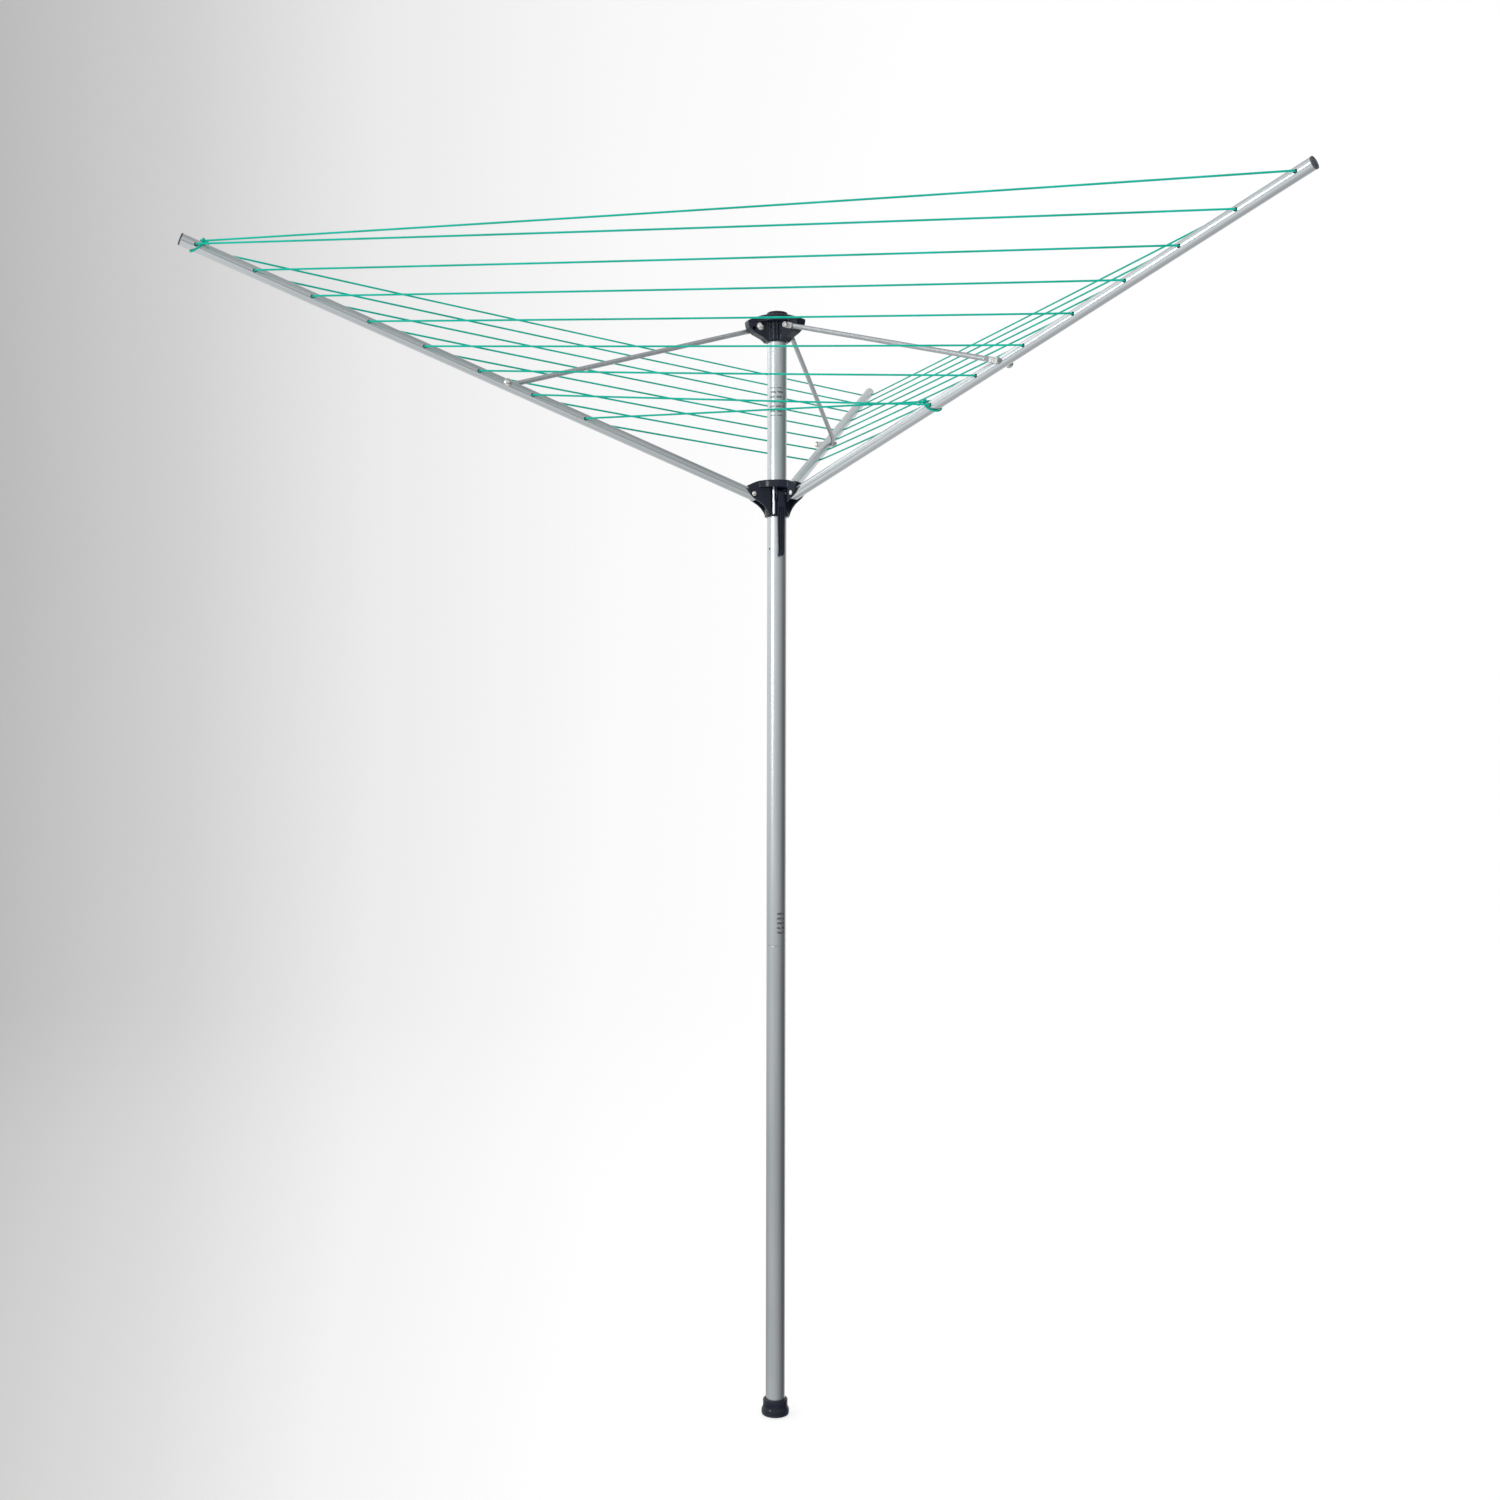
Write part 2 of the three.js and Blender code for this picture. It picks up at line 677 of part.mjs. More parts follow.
for (const name of ARM_NAMES) {
  const sector = new THREE.Group();
  sector.rotation.z = radians(ARM_AZIMUTH[name]);
  group.add(sector);

  const arm = new THREE.Group();
  arm.position.set(ARM_PIVOT_R, 0, ARM_PIVOT_Z);
  arm.rotation.y = -elevation;
  sector.add(arm);
  arm_frames[name] = arm;
  add(`arm_${name}`, arm_shape, aluminium, arm);
  add(`arm_cap_${name}`, arm_cap, navy, arm).position.x = ARM_LENGTH;
  add(`elbow_bolt_${name}`, bolt(elbow_seat), steel, arm).position.x = ELBOW;
  add(`elbow_spacer_${name}`, spacer, aluminium, arm).position.x = ELBOW;
  add(`elbow_washer_${name}`, washer, steel, arm).position.x = ELBOW;
  add(`elbow_nut_${name}`, nut, steel, arm).position.x = ELBOW;
  add(`pivot_rivet_${name}`, pivot_rivet, steel, sector).position.set(ARM_PIVOT_R, 0, ARM_PIVOT_Z);

  const strut_frame = new THREE.Group();
  strut_frame.position.set(HUB_PIVOT_R, 0, HUB_PIVOT_Z);
  strut_frame.rotation.y = strut_slope;
  sector.add(strut_frame);
  add(`strut_${name}`, strut_shape, rod, strut_frame);

  const hub_bolt = new THREE.Group();
  hub_bolt.position.set(HUB_PIVOT_R, 0, HUB_PIVOT_Z);
  sector.add(hub_bolt);
  add(`hub_bolt_${name}`, bolt(LUG_HALF + GAP), steel, hub_bolt);
  add(`hub_nut_${name}`, nut, steel, hub_bolt);
}

// ---------- line ----------

group.updateMatrixWorld(true);

// A point of an arm: along it from the pivot, to its counterclockwise side, and above its middle.
const on_arm = (name, along, side, above = 0) =>
  new THREE.Vector3(along, side, above).applyMatrix4(arm_frames[name].matrixWorld);

// A path through listed points, sampled point by point.
class PointPath extends THREE.Curve {
  constructor(points) {
    super();
    this.points = points;
  }

  getUtoTmapping(u) {
    return u;
  }

  getPoint(t, target = new THREE.Vector3()) {
    const last = this.points.length - 1;
    const at = Math.min(Math.max(t, 0), 1) * last;
    const i = Math.min(Math.floor(at), last - 1);
    return target.lerpVectors(this.points[i], this.points[i + 1], at - i);
  }

  getTangent(t, target = new THREE.Vector3()) {
    const last = this.points.length - 1;
    const i = Math.round(t * last);
    const way = (k) => this.points[k + 1].clone().sub(this.points[k]).normalize();
    if (i === 0) return target.copy(way(0));
    if (i === last) return target.copy(way(last - 1));
    return target.copy(way(i - 1)).add(way(i)).normalize();
  }
}

function corded(points) {
  const section = [];
  for (let i = 0; i < CORD_SIDES; i += 1) {
    const a = (2 * Math.PI * i) / CORD_SIDES;
    section.push([CORD_R * Math.cos(a), CORD_R * Math.sin(a)]);
  }
  const path = new PointPath(points);
  return solid(
    new THREE.ExtrudeGeometry(outline(section), { steps: points.length - 1, extrudePath: path })
  );
}

const tie_side = ARM_R + CORD_R + GAP;
const knot_angle = radians(KNOT_ANGLE);

const knot_at = (name, number, way) => {
  const out = tie_side + KNOT_RISE;
  const side = way * out * Math.cos(knot_angle);
  return on_arm(name, hole_at(number) - KNOT_BACK, side, out * Math.sin(knot_angle));
};

// Round and round, from a knot on the outermost left hole to one on the innermost right hole.
function line_route() {
  const reach = CORD_STUB + CORD_TURN;
  const route = [knot_at('left', HOLES, 1)];
  for (let n = HOLES; n >= 1; n -= 1) {
    for (const name of ['right', 'back', 'left']) {
      route.push(on_arm(name, hole_at(n), -reach), on_arm(name, hole_at(n), reach));
    }
  }
  route.push(knot_at('right', 1, -1));
  return route;
}

// Rounds each corner of a route with a short bend.
function rounded(points) {
  const out = [points[0]];
  for (let i = 1; i + 1 < points.length; i += 1) {
    const p = points[i];
    const back = points[i - 1].clone().sub(p).normalize().multiplyScalar(CORD_TURN).add(p);
    const on = points[i + 1].clone().sub(p).normalize().multiplyScalar(CORD_TURN).add(p);
    out.push(...new THREE.QuadraticBezierCurve3(back, p, on).getPoints(2));
  }
  out.push(points[points.length - 1]);
  return out;
}

// The tie at either end: a loop round the arm, drawn up into a knot by the hole, and a short tail.
function tie(name, number, way) {
  const start = way > 0 ? knot_angle : Math.PI - knot_angle;
  const loop = [];
  for (let i = 0; i <= 18; i += 1) {
    const a = start + (i / 18) * 2 * Math.PI;
    const along = hole_at(number) + 6 - 7 * (1 + Math.cos(a - start));
    loop.push(on_arm(name, along, tie_side * Math.cos(a), tie_side * Math.sin(a)));
  }
  const centre = knot_at(name, number, way).toArray();
  const ring = (rx, ry) =>
    solid(new THREE.TorusGeometry(KNOT_RING, CORD_R, 5, 10))
      .rotate([rx, ry, ARM_AZIMUTH[name]])
      .translate(centre);
  const core = solid(new THREE.SphereGeometry(KNOT_CORE, 8, 6)).translate(centre);
  const out = tie_side + KNOT_RISE;
  const tail = TAIL.map((d) =>
    on_arm(
      name,
      hole_at(number) - KNOT_BACK - d * 0.6,
      way * (out * Math.cos(knot_angle) + d * 0.25),
      out * Math.sin(knot_angle) + d * 0.35 - d * d * 0.035
    )
  );
  return union(corded(loop), ring(20, 10), ring(95, 25), core, corded(tail));
}

const line = corded(rounded(line_route()));
add('clothesline', union(line, tie('left', HOLES, 1), tie('right', 1, -1)), cord);

export default group;
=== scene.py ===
import math

import bmesh
import bpy
import numpy as np
from mathutils import Matrix, Vector


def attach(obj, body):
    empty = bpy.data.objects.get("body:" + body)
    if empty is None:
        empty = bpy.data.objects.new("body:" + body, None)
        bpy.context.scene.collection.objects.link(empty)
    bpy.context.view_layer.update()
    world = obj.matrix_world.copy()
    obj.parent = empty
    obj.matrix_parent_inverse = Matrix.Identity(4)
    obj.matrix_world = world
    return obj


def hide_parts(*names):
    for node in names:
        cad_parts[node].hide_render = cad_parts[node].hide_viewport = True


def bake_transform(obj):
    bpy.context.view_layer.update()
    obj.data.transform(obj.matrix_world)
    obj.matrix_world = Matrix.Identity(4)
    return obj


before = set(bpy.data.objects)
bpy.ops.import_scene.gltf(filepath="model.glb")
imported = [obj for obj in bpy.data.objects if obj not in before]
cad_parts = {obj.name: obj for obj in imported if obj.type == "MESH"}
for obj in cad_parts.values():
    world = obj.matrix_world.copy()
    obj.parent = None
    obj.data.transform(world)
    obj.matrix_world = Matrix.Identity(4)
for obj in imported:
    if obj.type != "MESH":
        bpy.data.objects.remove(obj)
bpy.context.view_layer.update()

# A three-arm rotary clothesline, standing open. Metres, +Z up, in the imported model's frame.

# ---------- driving dimensions, repeated from the CAD part in metres ----------

GAP = 0.0003

MAST_R = 0.016
MAST_WALL = 0.0015
FERRULE_HALF = 0.075
MAST_FOOT_Z = 0.0044
MAST_JOINT_Z = 0.777
MAST_TOP_Z = 1.797
CATCH_HOLE_R = 0.0016
CATCH_HOLE_Z = 1.431
CATCH_HOLE_TURN = -37

CUP_R = 0.0206
CUP_FLANGE_R = 0.023
CUP_H = 0.027
CUP_PLAY = 0.0004  # round the mast, in the cup and in the runner

AZIMUTH = {"back": 90, "left": 210, "right": 330}
ARM_BODY = {"back": "arm_b", "left": "arm_l", "right": "arm_r"}
STRUT_BODY = {"back": "strut_b", "left": "strut_l", "right": "strut_r"}
ARM_PIVOT_R = 0.043
ARM_PIVOT_Z = 1.520
ELEVATION = math.radians(21.1)
ARM_R = 0.00925
ARM_WALL = 0.0012
ARM_TAIL = 0.01075
ARM_LENGTH = 0.960
PIVOT_BORE = 0.0028

HOLES = 8
HOLE_FIRST = 0.3005
HOLE_PITCH = 0.091
HOLE_R = 0.003

ELBOW = 0.436
HUB_PIVOT_R = 0.032
HUB_PIVOT_Z = 1.795
STRUT_R = 0.004
STRUT_SIDE = 0.015
FLAT_INNER = 0.0109
FLAT_T = 0.003
FLAT_OUTER = FLAT_INNER + FLAT_T
FLAT = 0.012
FLAT_BLEND = 0.010
EYE_R = 0.0054
BOLT_R = 0.0025
BOLT_BORE = 0.0028
BOLT_HEAD = 0.0065
BOLT_HEAD_H = 0.005
BOLT_END = 0.0042
NUT_R = 0.0047
NUT_H = 0.004
WASHER_R = 0.0056
RIVET_R = 0.0025
RIVET_HEAD = 0.0042
RIVET_HEAD_H = 0.0028
SPACER_R = 0.0048
SPACER_LENGTH = 0.0087

LUG_HALF = 0.0106
LUG_REACH = 0.053
HUB_BASE_Z = 1.7715
HUB_RIM_Z = 1.803
HUB_DOME_Z = 1.816
HUB_CAP_R = 0.0173
HUB_CAP_Z = 1.8225

RUNNER_R = 0.0205
RUNNER_BASE = ARM_PIVOT_Z - 0.036
RUNNER_TOP = ARM_PIVOT_Z + 0.023
PLATE_IN = 0.0097
PLATE_OUT = 0.0137
RIM_T = 0.013
WINDOW_AZIMUTH = 260
WINDOW_HALF = 0.0037
WINDOW_BASE = RUNNER_BASE + 0.0034
LEVER_AZIMUTH = 299
LEVER_W = 0.012
LEVER_BAY = 0.038
EAR_T = 0.0028
LEVER_PIN_R = 0.024
LEVER_PIN_Z = 0.001
PIN_BORE = 0.0018

CORD_R = 0.0015
CORD_STUB = 0.010
CORD_TURN = 0.0026
KNOT_ANGLE = math.radians(42)  # round the arm from its side
KNOT_BACK = 0.008  # from the hole, towards the runner
KNOT_RISE = 0.0031
TAIL = 0.015

# ---------- places ----------


def turn_z(degrees):
    return Matrix.Rotation(math.radians(degrees), 4, "Z")


def shift(x, y, z):
    return Matrix.Translation((x, y, z))


def at_runner(azimuth):
    return turn_z(azimuth) @ shift(0, 0, ARM_PIVOT_Z)


def arm_frame(name):
    """X runs out along the arm from its pivot, and Y to its counterclockwise side."""
    place = shift(ARM_PIVOT_R, 0, ARM_PIVOT_Z)
    return turn_z(AZIMUTH[name]) @ place @ Matrix.Rotation(-ELEVATION, 4, "Y")


def on_arm(name, along, side, above=0.0):
    return arm_frame(name) @ Vector((along, side, above))


def hole_at(number):
    """Holes are numbered from the innermost."""
    return HOLE_FIRST + (number - 1) * HOLE_PITCH


ELBOW_R = ARM_PIVOT_R + ELBOW * math.cos(ELEVATION)
ELBOW_Z = ARM_PIVOT_Z + ELBOW * math.sin(ELEVATION)
STRUT_LENGTH = math.hypot(ELBOW_R - HUB_PIVOT_R, ELBOW_Z - HUB_PIVOT_Z)
STRUT_SLOPE = math.atan2(HUB_PIVOT_Z - ELBOW_Z, ELBOW_R - HUB_PIVOT_R)


def hub_pivot(name):
    return turn_z(AZIMUTH[name]) @ shift(HUB_PIVOT_R, 0, HUB_PIVOT_Z)


def strut_frame(name):
    return hub_pivot(name) @ Matrix.Rotation(STRUT_SLOPE, 4, "Y")


# ---------- camera ----------

CAMERA_AT = Vector((0.6326, -2.9240, 1.1151))
CAMERA_YAW = 13.045
CAMERA_PITCH = -0.295
CAMERA_ROLL = 0.10
LENS_MM = 43.42
SENSOR_MM = 36.0


def make_camera():
    data = bpy.data.cameras.new("camera")
    data.sensor_width = SENSOR_MM
    data.lens = LENS_MM
    data.dof.use_dof = False
    data.clip_end = 60
    camera = bpy.data.objects.new("camera", data)
    bpy.context.scene.collection.objects.link(camera)
    look = (
        Matrix.Rotation(math.radians(CAMERA_YAW), 4, "Z")
        @ Matrix.Rotation(math.radians(90 + CAMERA_PITCH), 4, "X")
        @ Matrix.Rotation(math.radians(CAMERA_ROLL), 4, "Z")
    )
    camera.matrix_world = Matrix.Translation(CAMERA_AT) @ look
    bpy.context.scene.camera = camera


make_camera()

# ---------- materials ----------


class Graph:
    """Short calls for building a node tree. A value is a number, a colour or another node's output."""

    def __init__(self, tree):
        self.tree = tree

    def node(self, kind, inputs=(), **settings):
        made = self.tree.nodes.new(kind)
        for key, value in settings.items():
            setattr(made, key, value)
        for socket, value in dict(inputs).items():
            self.feed(made.inputs[socket], value)
        return made

    def feed(self, socket, value):
        if isinstance(value, bpy.types.NodeSocket):
            self.tree.links.new(value, socket)
        elif isinstance(value, tuple) and socket.type == "RGBA":
            socket.default_value = (*value, 1)
        else:
            socket.default_value = value

    def math(self, operation, a, b=0.0):
        return self.node("ShaderNodeMath", {0: a, 1: b}, operation=operation).outputs[0]

    def mix(self, factor, a, b, kind="MIX"):
        inputs = {0: factor, 6: a, 7: b}
        return self.node("ShaderNodeMix", inputs, data_type="RGBA", blend_type=kind).outputs[2]

    def split(self, space):
        """The X, Y and Z outputs of a texture coordinate."""
        at = self.node("ShaderNodeTexCoord").outputs[space]
        return self.node("ShaderNodeSeparateXYZ", {"Vector": at}).outputs

    def ramp(self, factor, stops, low=0.0, high=1.0):
        """Colours or greys against a factor that runs from low to high."""
        if (low, high) != (0.0, 1.0):
            span = {"Value": factor, "From Min": low, "From Max": high}
            factor = self.node("ShaderNodeMapRange", span).outputs["Result"]
        made = self.node("ShaderNodeValToRGB", {"Fac": factor})
        elements = made.color_ramp.elements
        while len(elements) < len(stops):
            elements.new(0.5)
        for element, (position, value) in zip(elements, stops):
            element.position = (position - low) / (high - low)
            element.color = (*(value if isinstance(value, tuple) else (value,) * 3), 1)
        return made.outputs["Color"]


class Surface(Graph):
    """A material on one Principled shader."""

    def __init__(self, name, colour, roughness, metallic=0.0, specular=0.5):
        self.material = bpy.data.materials.new(name)
        self.material.use_nodes = True
        super().__init__(self.material.node_tree)
        self.inputs = self.tree.nodes["Principled BSDF"].inputs
        self.inputs["Base Color"].default_value = (*colour, 1)
        self.inputs["Roughness"].default_value = roughness
        self.inputs["Metallic"].default_value = metallic
        self.inputs["Specular IOR Level"].default_value = specular
        self.last_bump = None

    def coordinates(self, space="Object", scale=(1, 1, 1)):
        at = self.node("ShaderNodeTexCoord").outputs[space]
        made = self.node("ShaderNodeMapping", {"Vector": at})
        made.inputs["Scale"].default_value = scale
        return made.outputs["Vector"]

    def noise(self, scale, detail=4.0, space="Object", stretch=(1, 1, 1), rough=0.55):
        at = self.coordinates(space, stretch)
        inputs = {"Scale": scale, "Detail": detail, "Roughness": rough, "Vector": at}
        return self.node("ShaderNodeTexNoise", inputs).outputs["Fac"]

    def paint(self, colour):
        self.feed(self.inputs["Base Color"], colour)

    def vary_roughness(self, factor, low, high):
        made = self.node("ShaderNodeMapRange", {"Value": factor, "To Min": low, "To Max": high})
        self.feed(self.inputs["Roughness"], made.outputs["Result"])

    def bump(self, height, strength, distance=0.0002):
        """Each bump adds to the one before."""
        inputs = {"Height": height, "Strength": strength, "Distance": distance}
        if self.last_bump:
            inputs["Normal"] = self.last_bump
        self.last_bump = self.node("ShaderNodeBump", inputs).outputs["Normal"]
        self.feed(self.inputs["Normal"], self.last_bump)


def aluminium_surface(name="drawn_aluminium", marks=False):
    """Satin drawn tube: fine lines along its length, faint handling marks, slow colour drift."""
    s = Surface(name, (0.60, 0.64, 0.66), 0.30, 1.0)
    lines = s.noise(900, 3, "UV", (1.0, 0.006, 1))
    broad = s.noise(60, 2, "UV", (1.0, 0.05, 1))
    cloud = s.noise(9, 3)
    scratch = s.noise(260, 2, "UV", (0.25, 1.6, 1), 0.7)
    tone = s.ramp(broad, [(0.3, (0.54, 0.585, 0.605)), (0.7, (0.66, 0.69, 0.705))])
    tone = s.mix(s.ramp(cloud, [(0.35, 0.0), (0.75, 0.35)]), tone, (0.58, 0.61, 0.63))
    tone = s.mix(s.ramp(scratch, [(0.66, 0.0), (0.72, 0.35)]), tone, (0.42, 0.44, 0.46))
    if marks:
        tone = print_marks(s, tone)
    s.paint(tone)
    s.vary_roughness(s.mix(0.5, lines, cloud), 0.22, 0.40)
    s.bump(lines, 0.06, 0.00005)
    s.bump(scratch, 0.03, 0.00005)
    return s.material


# Two patches of dashes, as (left, right, low, high) in metres round and up the mast.
MARK_PATCHES = ((0.066, 0.091, 1.649, 1.696), (0.080, 0.094, 0.797, 0.836))
MARK_ROW = 0.0078
MARK_LENGTH = 0.0120
MARK_STRENGTH = 0.75
MARK_INK = (0.12, 0.13, 0.14)


def print_marks(s, tone):
    """Small patches of plain grey dashes, where the real mast carries printed labels."""
    around, up, _ = s.split("UV")

    def band(value, low, high):
        above = s.math("GREATER_THAN", value, low)
        return s.math("MULTIPLY", above, s.math("LESS_THAN", value, high))

    row = band(s.math("FRACT", s.math("DIVIDE", up, MARK_ROW)), 0.2, 0.66)
    jog = s.noise(180, 0, "UV", (0.0, 1.0, 1))
    turns = s.math("ADD", s.math("DIVIDE", around, MARK_LENGTH), jog)
    dashes = s.math("MULTIPLY", row, band(s.math("FRACT", turns), 0.10, 0.84))
    for left, right, low, high in MARK_PATCHES:
        patch = s.math("MULTIPLY", band(around, left, right), band(up, low, high))
        ink = s.ramp(s.math("MULTIPLY", patch, dashes), [(0.0, 0.0), (1.0, MARK_STRENGTH)])
        tone = s.mix(ink, tone, MARK_INK)
    return tone


def rod_surface():
    """Zinc-plated rod: dull blue-grey spangle and fine lines along it."""
    s = Surface("zinc_rod", (0.50, 0.52, 0.54), 0.36, 1.0)
    spangle = s.noise(420, 5)
    lines = s.noise(700, 2, "UV", (1.0, 0.02, 1))
    dull, mid, bright = (0.40, 0.42, 0.44), (0.52, 0.54, 0.56), (0.63, 0.65, 0.66)
    s.paint(s.ramp(spangle, [(0.3, dull), (0.55, mid), (0.8, bright)]))
    s.vary_roughness(spangle, 0.28, 0.5)
    s.bump(lines, 0.12, 0.00006)
    s.bump(spangle, 0.08, 0.00004)
    return s.material


def bright_steel_surface():
    """Bright plated fasteners: mirror-like, with faint turning rings and dulled specks."""
    s = Surface("bright_steel", (0.78, 0.77, 0.74), 0.12, 1.0)
    specks = s.noise(1500, 4)
    film = s.noise(160, 3)
    s.paint(s.ramp(film, [(0.3, (0.66, 0.64, 0.60)), (0.7, (0.84, 0.83, 0.81))]))
    s.vary_roughness(specks, 0.07, 0.24)
    s.bump(specks, 0.05, 0.00003)
    return s.material


def navy_surface():
    """Semi-gloss moulded plastic: fine moulding grain, soft flow marks, paler rubbed edges."""
    s = Surface("navy_plastic", (0.008, 0.010, 0.021), 0.24, specular=0.30)
    grain = s.noise(2600, 2)
    flow = s.noise(55, 3, stretch=(1, 1, 0.45))
    tone = s.ramp(flow, [(0.3, (0.006, 0.008, 0.017)), (0.7, (0.011, 0.014, 0.028))])
    edges = s.node("ShaderNodeNewGeometry").outputs["Pointiness"]
    rubbed = s.ramp(edges, [(0.52, 0.0), (0.60, 0.5)])
    patchy = s.mix(s.ramp(s.noise(240, 4), [(0.45, 0.0), (0.65, 1.0)]), (0.0, 0.0, 0.0), rubbed)
    s.paint(s.mix(patchy, tone, (0.040, 0.045, 0.066)))
    s.vary_roughness(flow, 0.13, 0.25)
    s.bump(flow, 0.06, 0.0004)
    s.bump(grain, 0.10, 0.00003)
    return s.material


def plug_surface():
    """The moulded end plugs, a shade greyer and duller than the hubs."""
    s = Surface("plug_plastic", (0.05, 0.055, 0.075), 0.45)
    grain = s.noise(1800, 3)
    tone = s.noise(120, 3)
    s.paint(s.ramp(tone, [(0.3, (0.040, 0.044, 0.062)), (0.7, (0.075, 0.080, 0.100))]))
    s.vary_roughness(grain, 0.35, 0.6)
    s.bump(grain, 0.15, 0.00004)
    return s.material


def cord_surface():
    """Smooth PVC sheath over a laid core: the core's twist shows faintly through the gloss."""
    s = Surface("pvc_cord", (0.0, 0.42, 0.32), 0.38, specular=0.14)
    drift = s.noise(14, 2)
    fine = s.noise(900, 3)
    tone = s.ramp(drift, [(0.3, (0.0, 0.350, 0.255)), (0.7, (0.0, 0.460, 0.350))])
    s.paint(s.mix(s.ramp(fine, [(0.4, 0.0), (0.7, 0.25)]), tone, (0.0, 0.55, 0.43)))
    laid = {"Scale": 1.0, "Distortion": 0.4, "Vector": s.coordinates("UV", (170, 95, 1))}
    twist = s.node("ShaderNodeTexWave", laid, wave_type="BANDS")
    s.vary_roughness(fine, 0.30, 0.50)
    s.bump(twist.outputs["Fac"], 0.10, 0.00008)
    return s.material


ALUMINIUM = aluminium_surface()
MAST_ALUMINIUM = aluminium_surface("mast_aluminium", marks=True)
ROD = rod_surface()
STEEL = bright_steel_surface()
NAVY = navy_surface()
PLUG = plug_surface()
PVC = cord_surface()

# ---------- mesh tools ----------

SHARP_ANGLE = math.radians(32)


def new_object(name, verts, faces, uvs=None):
    """uvs, where given, is a list of corner coordinates for each face."""
    mesh = bpy.data.meshes.new(name)
    mesh.from_pydata([tuple(v) for v in verts], [], faces)
    if uvs:
        layer = mesh.uv_layers.new(name="UVMap")
        layer.data.foreach_set("uv", np.array([c for face in uvs for c in face], np.float32).ravel())
    mesh.update()
    made = bpy.data.objects.new(name, mesh)
    bpy.context.scene.collection.objects.link(made)
    return made


def turned(name, profile, segments=64, placed=None):
    """A solid of revolution about Z from [radius, z] points that run up its outer side."""
    verts, faces, uvs, rings = [], [], [], []
    for r, z in profile:
        if r < 1e-9:
            rings.append([len(verts)])
            verts.append((0, 0, z))
        else:
            rings.append(list(range(len(verts), len(verts) + segments)))
            for i in range(segments):
                a = 2 * math.pi * i / segments
                verts.append((r * math.cos(a), r * math.sin(a), z))
    arc = max(r for r, _ in profile) * 2 * math.pi / segments
    run = [0.0]
    for (r0, z0), (r1, z1) in zip(profile, profile[1:]):
        run.append(run[-1] + math.hypot(r1 - r0, z1 - z0))
    for k in range(len(profile) - 1):
        low, high = rings[k], rings[k + 1]
        upright = abs(profile[k + 1][0] - profile[k][0]) < 1e-9
        v0 = profile[k][1] if upright else run[k]
        v1 = profile[k + 1][1] if upright else run[k + 1]
        for i in range(segments):
            j = (i + 1) % segments
            u0, u1 = i * arc, (i + 1) * arc
            if len(low) == 1 and len(high) == 1:
                continue
            if len(low) == 1:
                faces.append((low[0], high[j], high[i]))
                uvs.append([(u0, v0), (u1, v1), (u0, v1)])
            elif len(high) == 1:
                faces.append((low[i], low[j], high[0]))
                uvs.append([(u0, v0), (u1, v0), (u0, v1)])
            else:
                faces.append((low[i], low[j], high[j], high[i]))
                uvs.append([(u0, v0), (u1, v0), (u1, v1), (u0, v1)])
    made = new_object(name, verts, faces, uvs)
    weld(made)
    if placed is not None:
        made.data.transform(placed)
    return made


def weld(made, distance=1e-7):
    work = bmesh.new()
    work.from_mesh(made.data)
    bmesh.ops.remove_doubles(work, verts=work.verts, dist=distance)
    bmesh.ops.recalc_face_normals(work, faces=work.faces)
    work.to_mesh(made.data)
    work.free()


def rounded_profile(points, radius, steps=4):
    """A profile whose inner corners are turned into short arcs."""
    out = [points[0]]
    for before, here, after in zip(points, points[1:], points[2:]):
        p, a, b = Vector(here), Vector(before), Vector(after)
        reach = min(radius, (a - p).length * 0.45, (b - p).length * 0.45)
        start = p + (a - p).normalized() * reach
        end = p + (b - p).normalized() * reach
        for k in range(steps + 1):
            t = k / steps
            out.append(tuple(start * (1 - t) ** 2 + p * 2 * t * (1 - t) + end * t**2))
    out.append(points[-1])
    return out


def prism(name, outline, low, high, axis="Y", placed=None):
    """A flat outline given thickness: [x, z] points with axis Y, or [x, y] points with Z."""
    count = len(outline)
    if axis == "Z":
        verts = [(x, y, low) for x, y in outline] + [(x, y, high) for x, y in outline]
    else:
        verts = [(x, low, z) for x, z in outline] + [(x, high, z) for x, z in outline]
    faces = [tuple(reversed(range(count))), tuple(range(count, 2 * count))]
    faces += [(i, (i + 1) % count, (i + 1) % count + count, i + count) for i in range(count)]
    made = new_object(name, verts, faces)
    weld(made)
    if placed is not None:
        made.data.transform(placed)
    return made


def block(name, low, high, placed=None):
    outline = [(low[0], low[2]), (high[0], low[2]), (high[0], high[2]), (low[0], high[2])]
    return prism(name, outline, low[1], high[1], "Y", placed)


# These turn a piece made along +Z to run along +Y or +X.
ALONG_Y = Matrix.Rotation(math.radians(-90), 4, "X")
ALONG_X = Matrix.Rotation(math.radians(90), 4, "Y")


def pin_shape(name, r, y0, y1, placed=None, segments=32):
    shape = turned(name, [(0, y0), (r, y0), (r, y1), (0, y1)], segments, ALONG_Y)
    if placed is not None:
        shape.data.transform(placed)
    return shape


def bored(name, r, low, high, segments):
    """A plain cutter about Z."""
    return turned(name, [(0, low), (r, low), (r, high), (0, high)], segments)


def joined(name, pieces):
    """Several meshes as one object. The first one keeps its materials."""
    work = bmesh.new()
    for piece in pieces:
        work.from_mesh(piece.data)
    mesh = bpy.data.meshes.new(name)
    work.to_mesh(mesh)
    work.free()
    made = bpy.data.objects.new(name, mesh)
    bpy.context.scene.collection.objects.link(made)
    for piece in pieces:
        bpy.data.objects.remove(piece)
    return made


def applied(made):
    """Makes the result of an object's modifiers its own mesh."""
    bpy.context.view_layer.update()
    seen = made.evaluated_get(bpy.context.evaluated_depsgraph_get())
    mesh = bpy.data.meshes.new_from_object(seen)
    made.modifiers.clear()
    made.data = mesh
    return made


